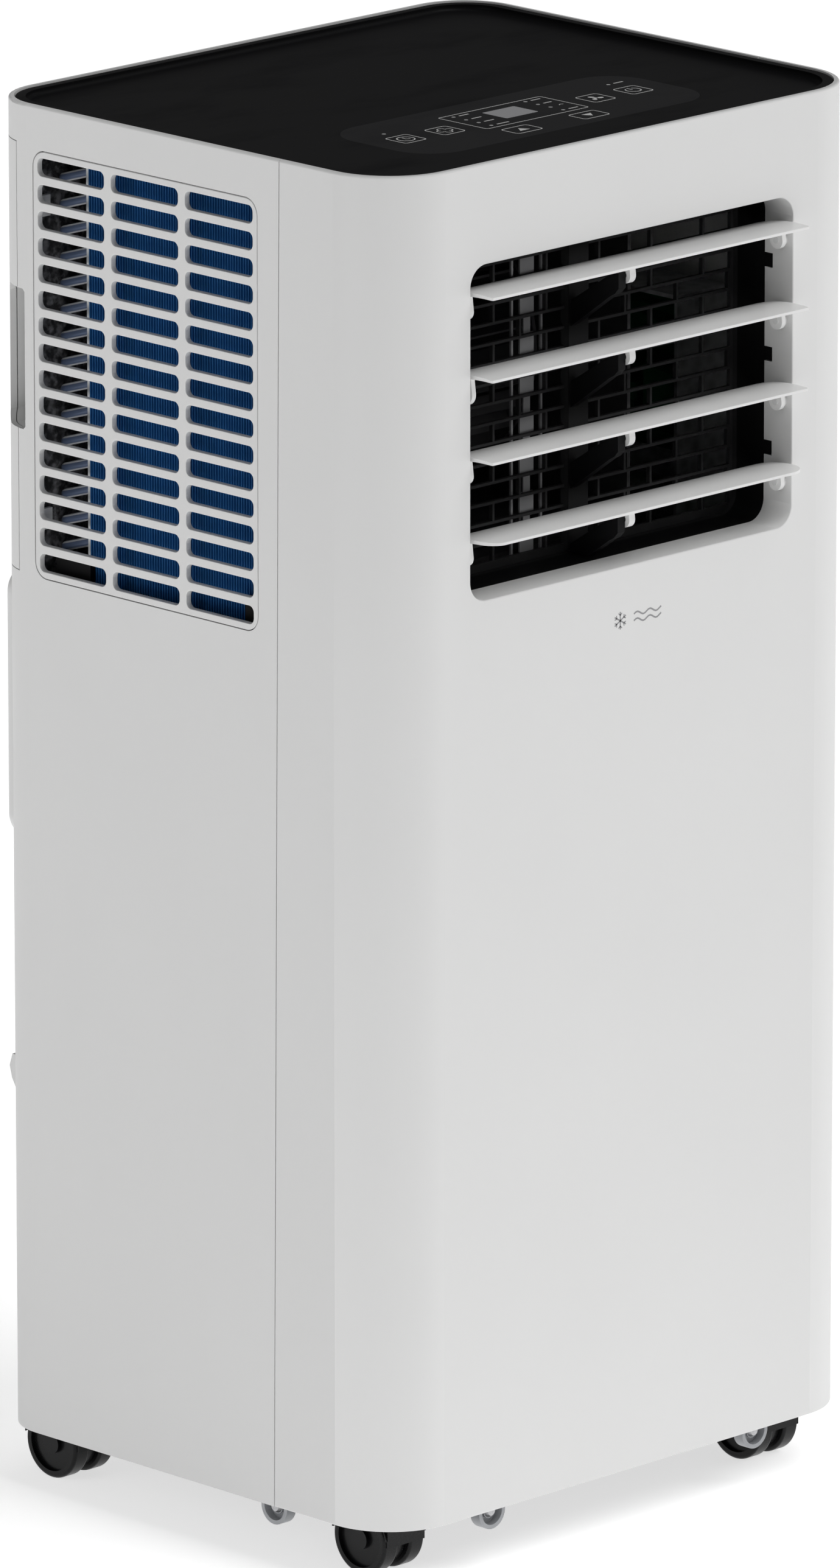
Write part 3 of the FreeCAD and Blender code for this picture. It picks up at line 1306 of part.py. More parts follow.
# ---- castors ------------------------------------------------------------------------------------
def castor_swivel(x, y):
    """The hood with the web between its two wheels, and its steel stem as a solid of its own."""
    cy, cz = y + castor_trail, wheel_radius
    reach = wheel_radius + hood_margin
    half = wheel_outer
    drum = rod(V(x - half, cy, cz), X_AXIS, reach, 2 * half)
    lower = box(x - half - 1, cy - reach - 1, cz - reach - 1, x + half + 1, cy + reach + 1, cz + 2.5)
    hood = drum.cut(lower)
    for side in (-1, 1):
        x0 = x + (wheel_inner - web_gap if side > 0 else -wheel_outer - 1)
        hood = hood.cut(rod(V(x0, cy, cz), X_AXIS, wheel_radius + tyre_gap, wheel_width + 1 + web_gap))
    web = rod(V(x - wheel_inner + web_gap, cy, cz), X_AXIS, wheel_radius - 3.0, 2 * (wheel_inner - web_gap))
    apron = box(x - half + 1, cy - reach, cz - 1.0, x + half - 1, cy - reach + 2.0, cz + 8)
    apron = apron.cut(rod(V(x - half, cy, cz), X_AXIS, wheel_radius + tyre_gap, 2 * half))
    seat = rod(V(x, y, cz + 4), Z_AXIS, stem_radius + 3.0, base_floor - 1.0 - cz - 4)
    for x0 in (x - half - 1, x + wheel_inner - web_gap):
        seat = seat.cut(rod(V(x0, cy, cz), X_AXIS, wheel_radius + tyre_gap, half + 1 - wheel_inner + web_gap))
    hood = fuse_all([hood, web, apron, seat])
    stem_bottom = cz + math.sqrt(wheel_radius ** 2 - castor_trail ** 2) + 1.6
    stem_hole = rod(V(x, y, stem_bottom), Z_AXIS, stem_radius, 40)
    axle_hole = rod(V(x - half - 1, cy, cz), X_AXIS, axle_radius + running_clearance, 2 * half + 2)
    stem = rod(V(x, y, stem_bottom), Z_AXIS, stem_radius, stem_top - stem_bottom)
    return [hood.cut(stem_hole).cut(axle_hole), stem]


def castor_wheels(x, y):
    """Both wheels of a castor and the axle that they are pressed on, which turns in the hood."""
    cy, cz = y + castor_trail, wheel_radius
    axle = rod(V(x - wheel_outer + 1.2, cy, cz), X_AXIS, axle_radius, 2 * wheel_outer - 2.4)
    return [castor_wheel(x, y, -1), castor_wheel(x, y, 1), axle]


def castor_wheel(x, y, side):
    """A wheel with a dished outer face, on the side (-1 or +1) of its castor."""
    cy, cz = y + castor_trail, wheel_radius
    x0 = x + (wheel_inner if side > 0 else -wheel_outer)
    wheel = rod(V(x0, cy, cz), X_AXIS, wheel_radius, wheel_width)
    rims = [e for e in wheel.Edges if e.BoundBox.XLength < 0.01]
    wheel = wheel.makeFillet(1.6, rims)
    face_x = x + side * wheel_outer
    dish_start = face_x if side < 0 else face_x - 2.0
    dish = tube(V(dish_start - 0.001, cy, cz), X_AXIS, wheel_radius - 3.5, 5.0, 2.001)
    wheel = wheel.cut(dish)
    hole_start = x0 - 1 if side > 0 else x0 + 1.2
    return wheel.cut(rod(V(hole_start, cy, cz), X_AXIS, axle_radius, wheel_width - 0.2))


# ---- write every node ---------------------------------------------------------------------------
def as_solids(result):
    shapes = result if isinstance(result, list) else [result]
    solids = [s for shape in shapes for s in shape.Solids]
    return solids[0] if len(solids) == 1 else Part.makeCompound(solids)


def nodes():
    made = {
        "front_panel": front_panel(), "rear_shell": rear_shell(), "rear_filter_cover": rear_filter_cover(),
        "rear_filter": rear_filter(), "side_grille": side_grille(), "handle_cups": handle_cups(),
        "top_cover": top_cover(), "touch_overlay": touch_overlay(), "display_lens": display_lens(),
        "control_board": control_board(), "outlet_duct": outlet_duct(), "outlet_guard": outlet_guard(),
        "outlet_brace": outlet_brace(), "louvre_motor": louvre_motor(), "louvre_link": louvre_link(),
        "evaporator_fins": evaporator_fins(), "evaporator_tubes": evaporator_tubes(),
        "coil_end_plates": end_plates(), "insulation_pad": insulation_pad(), "drip_tray": drip_tray(),
        "cold_scroll": cold_scroll(),
        "cold_wheel": cold_wheel(), "cold_shaft": cold_shaft(), "cold_motor": cold_motor(),
        "mid_deck": mid_deck(), "electrical_box": electrical_box(), "capacitor": capacitor(),
        "power_board": control_relay_board(), "exhaust_scroll": exhaust_scroll(),
        "exhaust_wheel": exhaust_wheel(), "exhaust_shaft": exhaust_shaft(), "exhaust_motor": exhaust_motor(),
        "exhaust_outlet": exhaust_outlet(), "condenser_fins": condenser_fins(),
        "condenser_tubes": condenser_tubes(), "compressor": compressor(),
        "compressor_grommets": compressor_grommets(), "compressor_bolts": compressor_bolts(),
        "accumulator": accumulator(), "refrigerant_pipes": refrigerant_pipes(), "base_tray": base_tray(),
        "fixing_lugs": fixing_lugs(), "lug_screws": lug_screws(), "cord_hooks": cord_hooks(),
        "cord_gland": cord_gland(), "drain_plug": drain_plug(),
    }
    for i in range(louvre_count):
        made[f"louvre_{i + 1}"] = louvre(i)
    for name, (x, y) in castors.items():
        made[f"{name}_swivel"] = castor_swivel(x, y)
        made[f"{name}_wheels"] = castor_wheels(x, y)
    return made


os.makedirs("parts", exist_ok=True)
for node_name, result in nodes().items():
    as_solids(result).exportStep(f"parts/{node_name}.step")
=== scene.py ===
"""Looks of a portable air conditioner.

Finishes for the CAD parts, and the fine pieces that the CAD leaves out: fins, net, foam and print.
"""

import json
import math

import bmesh
import bpy
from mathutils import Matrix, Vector


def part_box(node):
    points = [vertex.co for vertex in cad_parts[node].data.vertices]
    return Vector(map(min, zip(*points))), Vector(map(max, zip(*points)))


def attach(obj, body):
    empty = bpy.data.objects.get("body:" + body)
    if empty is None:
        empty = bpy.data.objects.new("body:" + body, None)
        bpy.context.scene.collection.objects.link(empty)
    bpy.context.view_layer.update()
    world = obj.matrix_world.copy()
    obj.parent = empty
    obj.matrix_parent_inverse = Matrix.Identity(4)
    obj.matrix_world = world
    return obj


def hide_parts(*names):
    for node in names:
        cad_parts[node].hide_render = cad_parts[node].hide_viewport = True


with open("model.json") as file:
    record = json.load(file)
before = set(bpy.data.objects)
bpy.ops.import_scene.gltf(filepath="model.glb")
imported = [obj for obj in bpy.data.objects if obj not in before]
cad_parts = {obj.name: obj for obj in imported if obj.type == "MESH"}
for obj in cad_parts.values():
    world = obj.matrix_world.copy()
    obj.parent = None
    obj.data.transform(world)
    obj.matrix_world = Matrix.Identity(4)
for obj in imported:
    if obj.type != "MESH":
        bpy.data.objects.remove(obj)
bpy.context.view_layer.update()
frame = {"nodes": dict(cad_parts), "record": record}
nodes = frame["nodes"]
MM = 0.001
HAIR = 0.01 * MM            # points nearer than this to a plane or to each other count as on it
BEND_START = 74.5 * MM      # y where the coil's bends begin
BEND_FIRST = 466.0 * MM     # height of the lowest bend's axis there
BEND_PITCH = 12.55 * MM
BEND_FALL = 0.309           # drop of a bend's axis for each unit of y
BAR_REACH = 4.5 * MM        # how far the guard's bars lie in front of its rearmost point


# ---- shader writing -----------------------------------------------------------------------------
class Wire:
    """A shader output that takes arithmetic: an expression on wires adds its own Math nodes."""

    def __init__(self, finish, socket):
        self.finish = finish
        self.socket = socket

    def _math(self, operation, first, second=None):
        values = {i: v for i, v in enumerate((first, second)) if v is not None}
        return self.finish.node("ShaderNodeMath", {"operation": operation}, values)[0]

    def __add__(self, other):
        return self._math("ADD", self, other)

    def __sub__(self, other):
        return self._math("SUBTRACT", self, other)

    def __rsub__(self, other):
        return self._math("SUBTRACT", other, self)

    def __mul__(self, other):
        return self._math("MULTIPLY", self, other)

    __radd__ = __add__
    __rmul__ = __mul__

    def step(self, low, high):
        """0 below low, 1 above high, and a smooth rise between."""
        settings = {"interpolation_type": "SMOOTHSTEP"}
        values = {"Value": self, "From Min": low, "From Max": high}
        return self.finish.node("ShaderNodeMapRange", settings, values)[0]

    def wave(self, period):
        """A cosine of this value, from 0 to 1, that repeats every period."""
        return self._math("COSINE", self * (2 * math.pi / period)) * 0.5 + 0.5

    def above(self, level):
        return self._math("GREATER_THAN", self, level)

    def larger(self, other):
        return self._math("MAXIMUM", self, other)


class Finish:
    """A procedural material: its Principled shader, and ways to add the nodes that feed it."""

    def __init__(self, name, colour, roughness, **fixed):
        self.material = bpy.data.materials.new(name)
        self.material.use_nodes = True
        self.tree = self.material.node_tree
        self.shader = next(n for n in self.tree.nodes if n.type == "BSDF_PRINCIPLED")
        self.shader.inputs["Base Color"].default_value = (*colour, 1)
        self.shader.inputs["Roughness"].default_value = roughness
        for key, value in fixed.items():     # specular_ior_level sets the socket Specular IOR Level
            socket_name = key.replace("_", " ").title().replace("Ior", "IOR")
            self.shader.inputs[socket_name].default_value = value
        self.material.diffuse_color = (*colour, 1)

    def node(self, kind, settings, values):
        """Adds a node. settings come first, then each socket gets its value or its wire."""
        made = self.tree.nodes.new(kind)
        for key, value in settings.items():
            setattr(made, key, value)
        for key, value in values.items():
            if isinstance(value, Wire):
                self.tree.links.new(value.socket, made.inputs[key])
            else:
                made.inputs[key].default_value = value
        return [Wire(self, socket) for socket in made.outputs if socket.enabled]

    def place(self):
        """Object coordinates, in metres, in the part's own frame."""
        coordinates = self.tree.nodes.new("ShaderNodeTexCoord")
        return Wire(self, coordinates.outputs["Object"])

    def axes(self):
        return self.node("ShaderNodeSeparateXYZ", {}, {0: self.place()})

    def stretched(self, scale):
        return self.node("ShaderNodeMapping", {}, {"Vector": self.place(), "Scale": scale})[0]

    def noise(self, scale, detail=2.0, stretch=(1, 1, 1)):
        values = {"Vector": self.stretched(stretch), "Scale": scale, "Detail": detail}
        return self.node("ShaderNodeTexNoise", {}, values)[0]

    def cells(self, scale):
        return self.node("ShaderNodeTexVoronoi", {}, {"Vector": self.place(), "Scale": scale})[0]

    def blend(self, factor, low, high):
        """A colour between low and high. Each is a colour or a wire."""
        low, high = ((*c, 1) if isinstance(c, tuple) else c for c in (low, high))
        values = {"Factor": factor, 6: low, 7: high}
        return self.node("ShaderNodeMix", {"data_type": "RGBA"}, values)[0]

    def feed(self, socket_name, wire):
        self.tree.links.new(wire.socket, self.shader.inputs[socket_name])
        return self

    def relief(self, height, depth):
        """Raises the surface by height, a wire from 0 to 1, times depth in metres."""
        bump = self.node("ShaderNodeBump", {}, {"Height": height, "Distance": depth})[0]
        return self.feed("Normal", bump)


def shade(colour, factor):
    return tuple(min(1.0, c * factor) for c in colour)


# ---- finishes -----------------------------------------------------------------------------------
def moulded_plastic(name, colour, roughness, grain=0.00002, grain_scale=2600.0, tone=0.03,
                    **fixed):
    """Injection-moulded plastic: a fine grain, slow tone changes and faint handling marks."""
    f = Finish(name, colour, roughness, **fixed)
    cloudy = f.noise(9.0, 3.0)
    sparks = f.noise(grain_scale, 2.0)
    wiped = f.noise(38.0, 4.0, stretch=(1, 1, 0.35)).step(0.42, 0.72)
    f.feed("Base Color", f.blend(cloudy, shade(colour, 1 - tone), shade(colour, 1 + tone * 0.4)))
    f.feed("Roughness", cloudy * 0.06 + wiped * 0.05 + sparks * 0.05 + (roughness - 0.08))
    return f.relief(sparks, grain).material


def duct_plastic(name):
    """Matte black plastic. The guard's bars, which face the light, are painted a shade lighter."""
    f = Finish(name, (0.006, 0.006, 0.0065), 0.6, specular_ior_level=0.12)
    y = f.axes()[1]
    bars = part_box("outlet_guard")[1].y - BAR_REACH
    on_bars = y.step(bars - 0.5 * MM, bars) * (1 - y.step(bars + 6 * MM, bars + 7 * MM))
    # painted light: the front-facing bars of the guard are lighter than the duct, mottled by noise
    painted_bar_light = on_bars * (f.noise(60.0, 3.0) * 0.5 + 0.5)
    f.feed("Base Color", f.blend(painted_bar_light, (0.0045, 0.0045, 0.005), (0.030, 0.030, 0.031)))
    f.feed("Roughness", f.noise(2600.0) * 0.08 + 0.56)
    return f.relief(f.noise(2600.0), 0.00002).material


def gloss_plastic(name, colour, roughness, shine=0.04):
    """Polished dark plastic with a little dust and the faintest wipe marks."""
    f = Finish(name, colour, roughness, specular_ior_level=shine)
    smears = f.noise(16.0, 5.0, stretch=(1, 2.4, 1)).step(0.45, 0.8)
    dust = f.noise(900.0, 2.0).step(0.66, 0.78)
    f.feed("Base Color", f.blend(dust * 0.03, colour, (0.3, 0.3, 0.3)))
    f.feed("Roughness", smears * 0.10 + dust * 0.12 + roughness)
    return f.relief(f.noise(60.0, 2.0), 0.00002).material


def sheet_steel(name, colour, roughness, spangle=True):
    """Zinc-coated sheet with a soft spangle and rolling lines."""
    f = Finish(name, colour, roughness, metallic=1.0)
    crystals = f.cells(160.0 if spangle else 600.0)
    rolling = f.noise(90.0, 3.0, stretch=(1, 1, 9))
    f.feed("Base Color", f.blend(crystals.step(0.0, 0.9), shade(colour, 0.8), shade(colour, 1.08)))
    f.feed("Roughness", crystals * 0.18 + rolling * 0.14 + (roughness - 0.14))
    return f.relief(rolling, 0.00003).material


def drawn_copper(name):
    """Copper tube with darker oxide patches."""
    colour = (0.78, 0.40, 0.24)
    f = Finish(name, colour, 0.32, metallic=1.0)
    oxide = f.noise(70.0, 4.0).step(0.5, 0.75)
    f.feed("Base Color", f.blend(oxide, colour, (0.36, 0.17, 0.10)))
    f.feed("Roughness", oxide * 0.25 + 0.26)
    return f.relief(f.noise(500.0, 2.0), 0.00002).material


def fin_coating(name, colour, metallic, roughness):
    """Thin fins under a coloured coat, with bent edges that catch the light unevenly."""
    f = Finish(name, colour, roughness, metallic=metallic)
    lines = f.noise(420.0, 2.0, stretch=(1, 1, 0.02))
    patches = f.noise(26.0, 3.0)
    streaks = lines * 0.7 + patches * 0.3
    f.feed("Base Color", f.blend(streaks, shade(colour, 0.62), shade(colour, 1.35)))
    f.feed("Roughness", patches * 0.2 + roughness)
    return f.relief(lines, 0.00008).material


def rubber(name, colour=(0.022, 0.022, 0.023)):
    f = Finish(name, colour, 0.72)
    bloom = f.noise(120.0, 4.0)
    f.feed("Base Color", f.blend(bloom.step(0.4, 0.8), colour, shade(colour, 2.0)))
    f.feed("Roughness", bloom * 0.14 + 0.64)
    return f.relief(f.noise(1800.0, 2.0), 0.00004).material


def stove_enamel(name, colour):
    f = Finish(name, colour, 0.34, coat_weight=0.25)
    peel = f.noise(420.0, 2.0)
    f.feed("Base Color", f.blend(f.noise(20.0, 3.0), shade(colour, 0.8), shade(colour, 1.5)))
    f.feed("Roughness", peel * 0.12 + 0.28)
    return f.relief(peel, 0.00006).material


def circuit_board(name):
    # painted shade: the board's green is darkened near black for the shade it sits in
    f = Finish(name, (0.006, 0.035, 0.016), 0.35)
    tracks = f.noise(180.0, 0.0, stretch=(1, 0.15, 1)).step(0.48, 0.52)
    f.feed("Base Color", f.blend(tracks, (0.005, 0.03, 0.014), (0.012, 0.07, 0.03)))
    f.feed("Roughness", tracks * 0.1 + 0.3)
    return f.relief(tracks, 0.00003).material


def translucent_nylon(name):
    """Milky grey nylon of the fixing lugs."""
    f = Finish(name, (0.40, 0.41, 0.43), 0.38, transmission_weight=0.2)
    flow = f.noise(140.0, 3.0)
    f.feed("Base Color", f.blend(flow, (0.34, 0.35, 0.37), (0.47, 0.48, 0.50)))
    f.feed("Roughness", flow * 0.14 + 0.3)
    return f.relief(f.noise(900.0, 2.0), 0.00003).material


def bend_tube(name):
    """Coated steel tube: slate blue along its middle, with painted highlights along both its long
    edges.
    """
    colour = (0.12, 0.16, 0.26)
    f = Finish(name, colour, 0.34, metallic=0.3)
    _, y, z = f.axes()
    above_axis = z + (y - BEND_START) * BEND_FALL - BEND_FIRST
    # painted highlight: a bright band along each edge of every bend, one bend pitch apart, varied
    # by the scuffs noise
    painted_highlight_band = 1 - above_axis.wave(BEND_PITCH).step(0.80, 0.90)
    scuffs = f.noise(420.0, 3.0, stretch=(1, 0.3, 1))
    bend = f.blend(painted_highlight_band * (scuffs * 0.4 + 0.8), colour, (0.90, 0.91, 0.93))
    f.feed("Base Color", f.blend(y.above(0.0), (0.16, 0.16, 0.165), bend))
    f.feed("Metallic", y.above(0.0) * 0.3)
    f.feed("Roughness", scuffs * 0.16 + 0.26)
    return f.relief(scuffs, 0.00003).material


def open_foam(name):
    """Dark crumbly insulation foam with grey flecks."""
    f = Finish(name, (0.03, 0.03, 0.032), 0.9)
    flecks = f.noise(210.0, 5.0).step(0.42, 0.68)
    f.feed("Base Color", f.blend(flecks, (0.03, 0.03, 0.032), (0.26, 0.26, 0.27)))
    f.feed("Roughness", flecks * 0.1 + 0.84)
    return f.relief(f.noise(700.0, 4.0), 0.0006).material


def woven_net(name):
    f = Finish(name, (0.05, 0.05, 0.055), 0.7)
    x, _, z = f.axes()
    weave = x.wave(0.0014).larger(z.wave(0.0014))
    f.feed("Base Color", f.blend(weave, (0.02, 0.02, 0.022), (0.11, 0.11, 0.115)))
    f.feed("Roughness", weave * 0.1 + 0.6)
    return f.relief(weave, 0.0002).material


def printed_ink(name, colour):
    f = Finish(name, colour, 0.5)
    patchy = f.noise(900.0, 2.0)
    f.feed("Base Color", f.blend(patchy, shade(colour, 0.9), shade(colour, 1.05)))
    f.feed("Roughness", patchy * 0.1 + 0.42)
    return f.relief(patchy, 0.00001).material


FINISHES = {
    "shell_white": moulded_plastic("shell_white", (0.77, 0.77, 0.767), 0.50),
    "louvre_white": moulded_plastic("louvre_white", (0.86, 0.86, 0.855), 0.36),
    "tray_black": gloss_plastic("tray_black", (0.0075, 0.0075, 0.008), 0.40),
    "overlay_film": gloss_plastic("overlay_film", (0.017, 0.017, 0.018), 0.36),
    "lens_grey": gloss_plastic("lens_grey", (0.36, 0.36, 0.37), 0.30),
    "duct_black": duct_plastic("duct_black"),
    "castor_black": moulded_plastic("castor_black", (0.005, 0.005, 0.0055), 0.30, tone=0.2,
                                    specular_ior_level=0.2),
    "fin_blue": fin_coating("fin_blue", (0.03, 0.20, 0.52), 0.2, 0.42),
    "fin_bare": fin_coating("fin_bare", (0.66, 0.67, 0.69), 0.95, 0.36),
    "copper": drawn_copper("copper"),
    "zinc_steel": sheet_steel("zinc_steel", (0.60, 0.61, 0.62), 0.44),
    "motor_steel": sheet_steel("motor_steel", (0.46, 0.46, 0.47), 0.36, spangle=False),
    # painted shade: the scrolls' light grey plastic is set near black for the shade inside the duct
    "scroll_grey": moulded_plastic("scroll_grey", (0.020, 0.020, 0.021), 0.6, grain=0.00006,
                                   grain_scale=900.0),
    "wheel_grey": moulded_plastic("wheel_grey", (0.03, 0.03, 0.032), 0.5, tone=0.12),
    "compressor_black": stove_enamel("compressor_black", (0.012, 0.012, 0.013)),
    "rubber_black": rubber("rubber_black"),
    "board_green": circuit_board("board_green"),
    "lug_grey": translucent_nylon("lug_grey"),
    "net_grey": woven_net("net_grey"),
    "bend_steel": bend_tube("bend_steel"),
    "foam_grey": open_foam("foam_grey"),
}
INK_WHITE = printed_ink("ink_white", (0.72, 0.72, 0.71))
INK_GREY = printed_ink("ink_grey", (0.30, 0.30, 0.31))
LIGHT_WINDOW = printed_ink("light_window", (0.46, 0.46, 0.46))

for row in frame["record"]["subparts"]:
    for slot in nodes[row["node"]].material_slots:
        slot.material = FINISHES[row["material_slot"]]


# ---- making pieces ------------------------------------------------------------------------------
FLAT_ANGLE = 1.0       # degrees between two faces that are one flat face
SHARP_ANGLE = 35       # degrees from which an edge is sharp


def keep_piece(piece, body, slot, material, *stands_for):
    """Gives a finished mesh its material and body, and hides the CAD nodes it stands for."""
    piece.data.materials.clear()
    piece.data.materials.append(material)
    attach(piece, body)
    if stands_for:
        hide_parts(*stands_for)
    return piece


def linked(name, data):
    """A new object in the scene that holds a mesh, a light or a camera."""
    piece = bpy.data.objects.new(name, data)
    bpy.context.collection.objects.link(piece)
    return piece


def from_bmesh(name, bm):
    bmesh.ops.recalc_face_normals(bm, faces=bm.faces)
    mesh = bpy.data.meshes.new(name)
    bm.to_mesh(mesh)
    bm.free()
    return linked(name, mesh)


def with_modifiers_applied(piece):
    """A plain mesh object of the same name in place of one whose modifiers are live."""
    bpy.context.view_layer.update()
    evaluated = piece.evaluated_get(bpy.context.evaluated_depsgraph_get())
    mesh = bpy.data.meshes.new_from_object(evaluated)
    name = piece.name
    bpy.data.objects.remove(piece)
    mesh.name = name
    made = linked(name, mesh)
    made.name = name
    return made


def merged_copy(node):
    """A copy of a CAD node's mesh, its loose triangles joined and its flat faces whole again."""
    bm = bmesh.new()
    bm.from_mesh(nodes[node].data)
    bmesh.ops.remove_doubles(bm, verts=bm.verts, dist=HAIR)
    bmesh.ops.dissolve_limit(bm, angle_limit=math.radians(FLAT_ANGLE), verts=bm.verts,
                             edges=bm.edges)
    return bm


def softened_copy(node, name, width, body, slot, chosen):
    """A copy of a node whose chosen sharp edges are rounded to width. It stands for the node."""
    bm = merged_copy(node)
    edges = []
    for edge in bm.edges:
        if len(edge.link_faces) == 2 and edge.calc_face_angle(0) > math.radians(SHARP_ANGLE):
            a, b = (v.co for v in edge.verts)
            if chosen(a) and chosen(b):
                edges.append(edge)
    bmesh.ops.bevel(bm, geom=edges, offset=width, offset_type="OFFSET", segments=2, profile=0.5,
                    affect="EDGES", clamp_overlap=True)
    mesh = bpy.data.meshes.new(name)
    bmesh.ops.triangulate(bm, faces=[f for f in bm.faces if len(f.verts) > 4])
    bm.to_mesh(mesh)
    bm.free()
    piece = linked(name, mesh)
    return keep_piece(piece, body, slot, FINISHES[slot], node)


# ---- repeated plates ----------------------------------------------------------------------------
def plate_stack_tree():
    """Geometry Nodes: a row of equal plates from a start, one step apart, each a plain box."""
    tree = bpy.data.node_groups.new("plate_stack", "GeometryNodeTree")
    sockets = {}
    for name, kind in (("Count", "NodeSocketInt"), ("Plate Size", "NodeSocketVector"),
                       ("Start", "NodeSocketVector"), ("Step", "NodeSocketVector"),
                       ("Finish", "NodeSocketMaterial")):
        sockets[name] = tree.interface.new_socket(name, in_out="INPUT", socket_type=kind).identifier
    tree.interface.new_socket("Geometry", in_out="OUTPUT", socket_type="NodeSocketGeometry")
    given, result = tree.nodes.new("NodeGroupInput"), tree.nodes.new("NodeGroupOutput")
    line = tree.nodes.new("GeometryNodeMeshLine")
    line.mode = "OFFSET"
    plate = tree.nodes.new("GeometryNodeMeshCube")
    placed = tree.nodes.new("GeometryNodeInstanceOnPoints")
    real = tree.nodes.new("GeometryNodeRealizeInstances")
    finish = tree.nodes.new("GeometryNodeSetMaterial")
    join = tree.links.new
    join(given.outputs["Count"], line.inputs["Count"])
    join(given.outputs["Start"], line.inputs["Start Location"])
    join(given.outputs["Step"], line.inputs["Offset"])
    join(given.outputs["Plate Size"], plate.inputs["Size"])
    join(line.outputs["Mesh"], placed.inputs["Points"])
    join(plate.outputs["Mesh"], placed.inputs["Instance"])
    join(placed.outputs["Instances"], real.inputs["Geometry"])
    join(real.outputs["Geometry"], finish.inputs["Geometry"])
    join(given.outputs["Finish"], finish.inputs["Material"])
    join(finish.outputs["Geometry"], result.inputs[0])
    return tree, sockets


STACK_TREE, STACK_SOCKETS = plate_stack_tree()


def plate_stack(name, low, high, axis, pitch, thickness, finish):
    """Plates that fill the box from low to high, square to the axis 0, 1 or 2, pitch apart."""
    size = [high[i] - low[i] for i in range(3)]
    count = int((size[axis] - thickness) / pitch) + 1
    start = [(low[i] + high[i]) / 2 for i in range(3)]
    start[axis] -= (count - 1) * pitch / 2
    step = [0.0, 0.0, 0.0]
    step[axis] = pitch
    size[axis] = thickness
    piece = linked(name, bpy.data.meshes.new(name))
    modifier = piece.modifiers.new("stack", "NODES")
    modifier.node_group = STACK_TREE
    for key, value in (("Count", count), ("Plate Size", size), ("Start", start), ("Step", step),
                       ("Finish", finish)):
        modifier[STACK_SOCKETS[key]] = value
    return with_modifiers_applied(piece)


def joined(name, *pieces):
    """One mesh from several plain ones."""
    bm = bmesh.new()
    for piece in pieces:
        bm.from_mesh(piece.data)
        bpy.data.objects.remove(piece)
    mesh = bpy.data.meshes.new(name)
    bm.to_mesh(mesh)
    bm.free()
    return linked(name, mesh)


# ---- fin packs ----------------------------------------------------------------------------------
FIN_SHEET = 0.22 * MM
FOAM_GRID = 18, 100              # cells across and up the foam's open face
FOAM_DENT = 0.7 * MM
NET_BORDER = 7.5 * MM
NET_PITCH, NET_THREAD = 2.2 * MM, 0.35 * MM
GRILLE_ROUND, SHELL_ROUND = 0.7 * MM, 0.8 * MM


def fin_packs():
    """Both coils' fins: the evaporator's stand square to y, the condenser's square to x."""
    for node, slot, axis, pitch in (("evaporator_fins", "fin_blue", 1, 1.7 * MM),
                                    ("condenser_fins", "fin_bare", 0, 1.8 * MM)):
        low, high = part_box(node)
        name = node.replace("fins", "fin_pack")
        fins = plate_stack(name, low, high, axis, pitch, FIN_SHEET, FINISHES[slot])
        keep_piece(fins, "cabinet", slot, FINISHES[slot], node)


def foam_sheet():
    """The foam behind the return bends, with an open, crumbly face."""
    low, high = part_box("insulation_pad")
    bm = bmesh.new()
    across, up = FOAM_GRID
    rows = []
    for j in range(up + 1):
        z = low.z + (high.z - low.z) * j / up
        row = []
        for i in range(across + 1):
            x = low.x + (high.x - low.x) * i / across
            inside = 0 < i < across and 0 < j < up
            dent = (math.sin(i * 12.9898 + j * 78.233) * 43758.5453) % 1.0 if inside else 0.0
            row.append(bm.verts.new((x, low.y + dent * FOAM_DENT, z)))
        rows.append(row)
    for a, b in zip(rows, rows[1:]):
        for i in range(across):
            bm.faces.new((a[i], a[i + 1], b[i + 1], b[i]))
    corners = (low.x, low.z), (high.x, low.z), (high.x, high.z), (low.x, high.z)
    back = [bm.verts.new((x, high.y, z)) for x, z in corners]
    bm.faces.new(back)
    bm.faces.new([*rows[0], back[1], back[0]])
    bm.faces.new([*rows[-1], back[2], back[3]])
    bm.faces.new([*(row[0] for row in rows), back[3], back[0]])
    bm.faces.new([*(row[-1] for row in rows), back[2], back[1]])
    keep_piece(from_bmesh("insulation_foam", bm), "cabinet", "foam_grey", FINISHES["foam_grey"],
               "insulation_pad")


def filter_net():
    """The rear filter's woven net, in its frame's window, on the inner side of the thin sheet."""
    low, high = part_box("rear_filter")
    threads = []
    for name, axis, inward in (("net_warp", 0, 0.0), ("net_weft", 2, 0.1 * MM)):
        y = low.y + 1.5 * MM - inward
        threads.append(plate_stack(name, (low.x + NET_BORDER, y, low.z + NET_BORDER),
                                   (high.x - NET_BORDER, y + NET_THREAD, high.z - NET_BORDER),
                                   axis, NET_PITCH, NET_THREAD, FINISHES["net_grey"]))
    keep_piece(joined("filter_net", *threads), "rear_cover_body", "net_grey",
               FINISHES["net_grey"])


# ---- softened mouldings -------------------------------------------------------------------------
def softened_mouldings():
    """Rounded rims: the grille's outer face, and the front shell's face and foot."""
    grille_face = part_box("side_grille")[0].x
    softened_copy("side_grille", "side_grille_moulding", GRILLE_ROUND, "side_grille_body",
                  "shell_white", lambda p: p.x < grille_face + HAIR)
    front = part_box("front_panel")[0]
    softened_copy("front_panel", "front_shell_moulding", SHELL_ROUND, "cabinet", "shell_white",
                  lambda p: p.y < front.y + HAIR or p.z < front.z + HAIR)


# ---- printing -----------------------------------------------------------------------------------
INK_TOP, INK_ROOT = 0.035 * MM, -0.01 * MM      # above and below the printed face


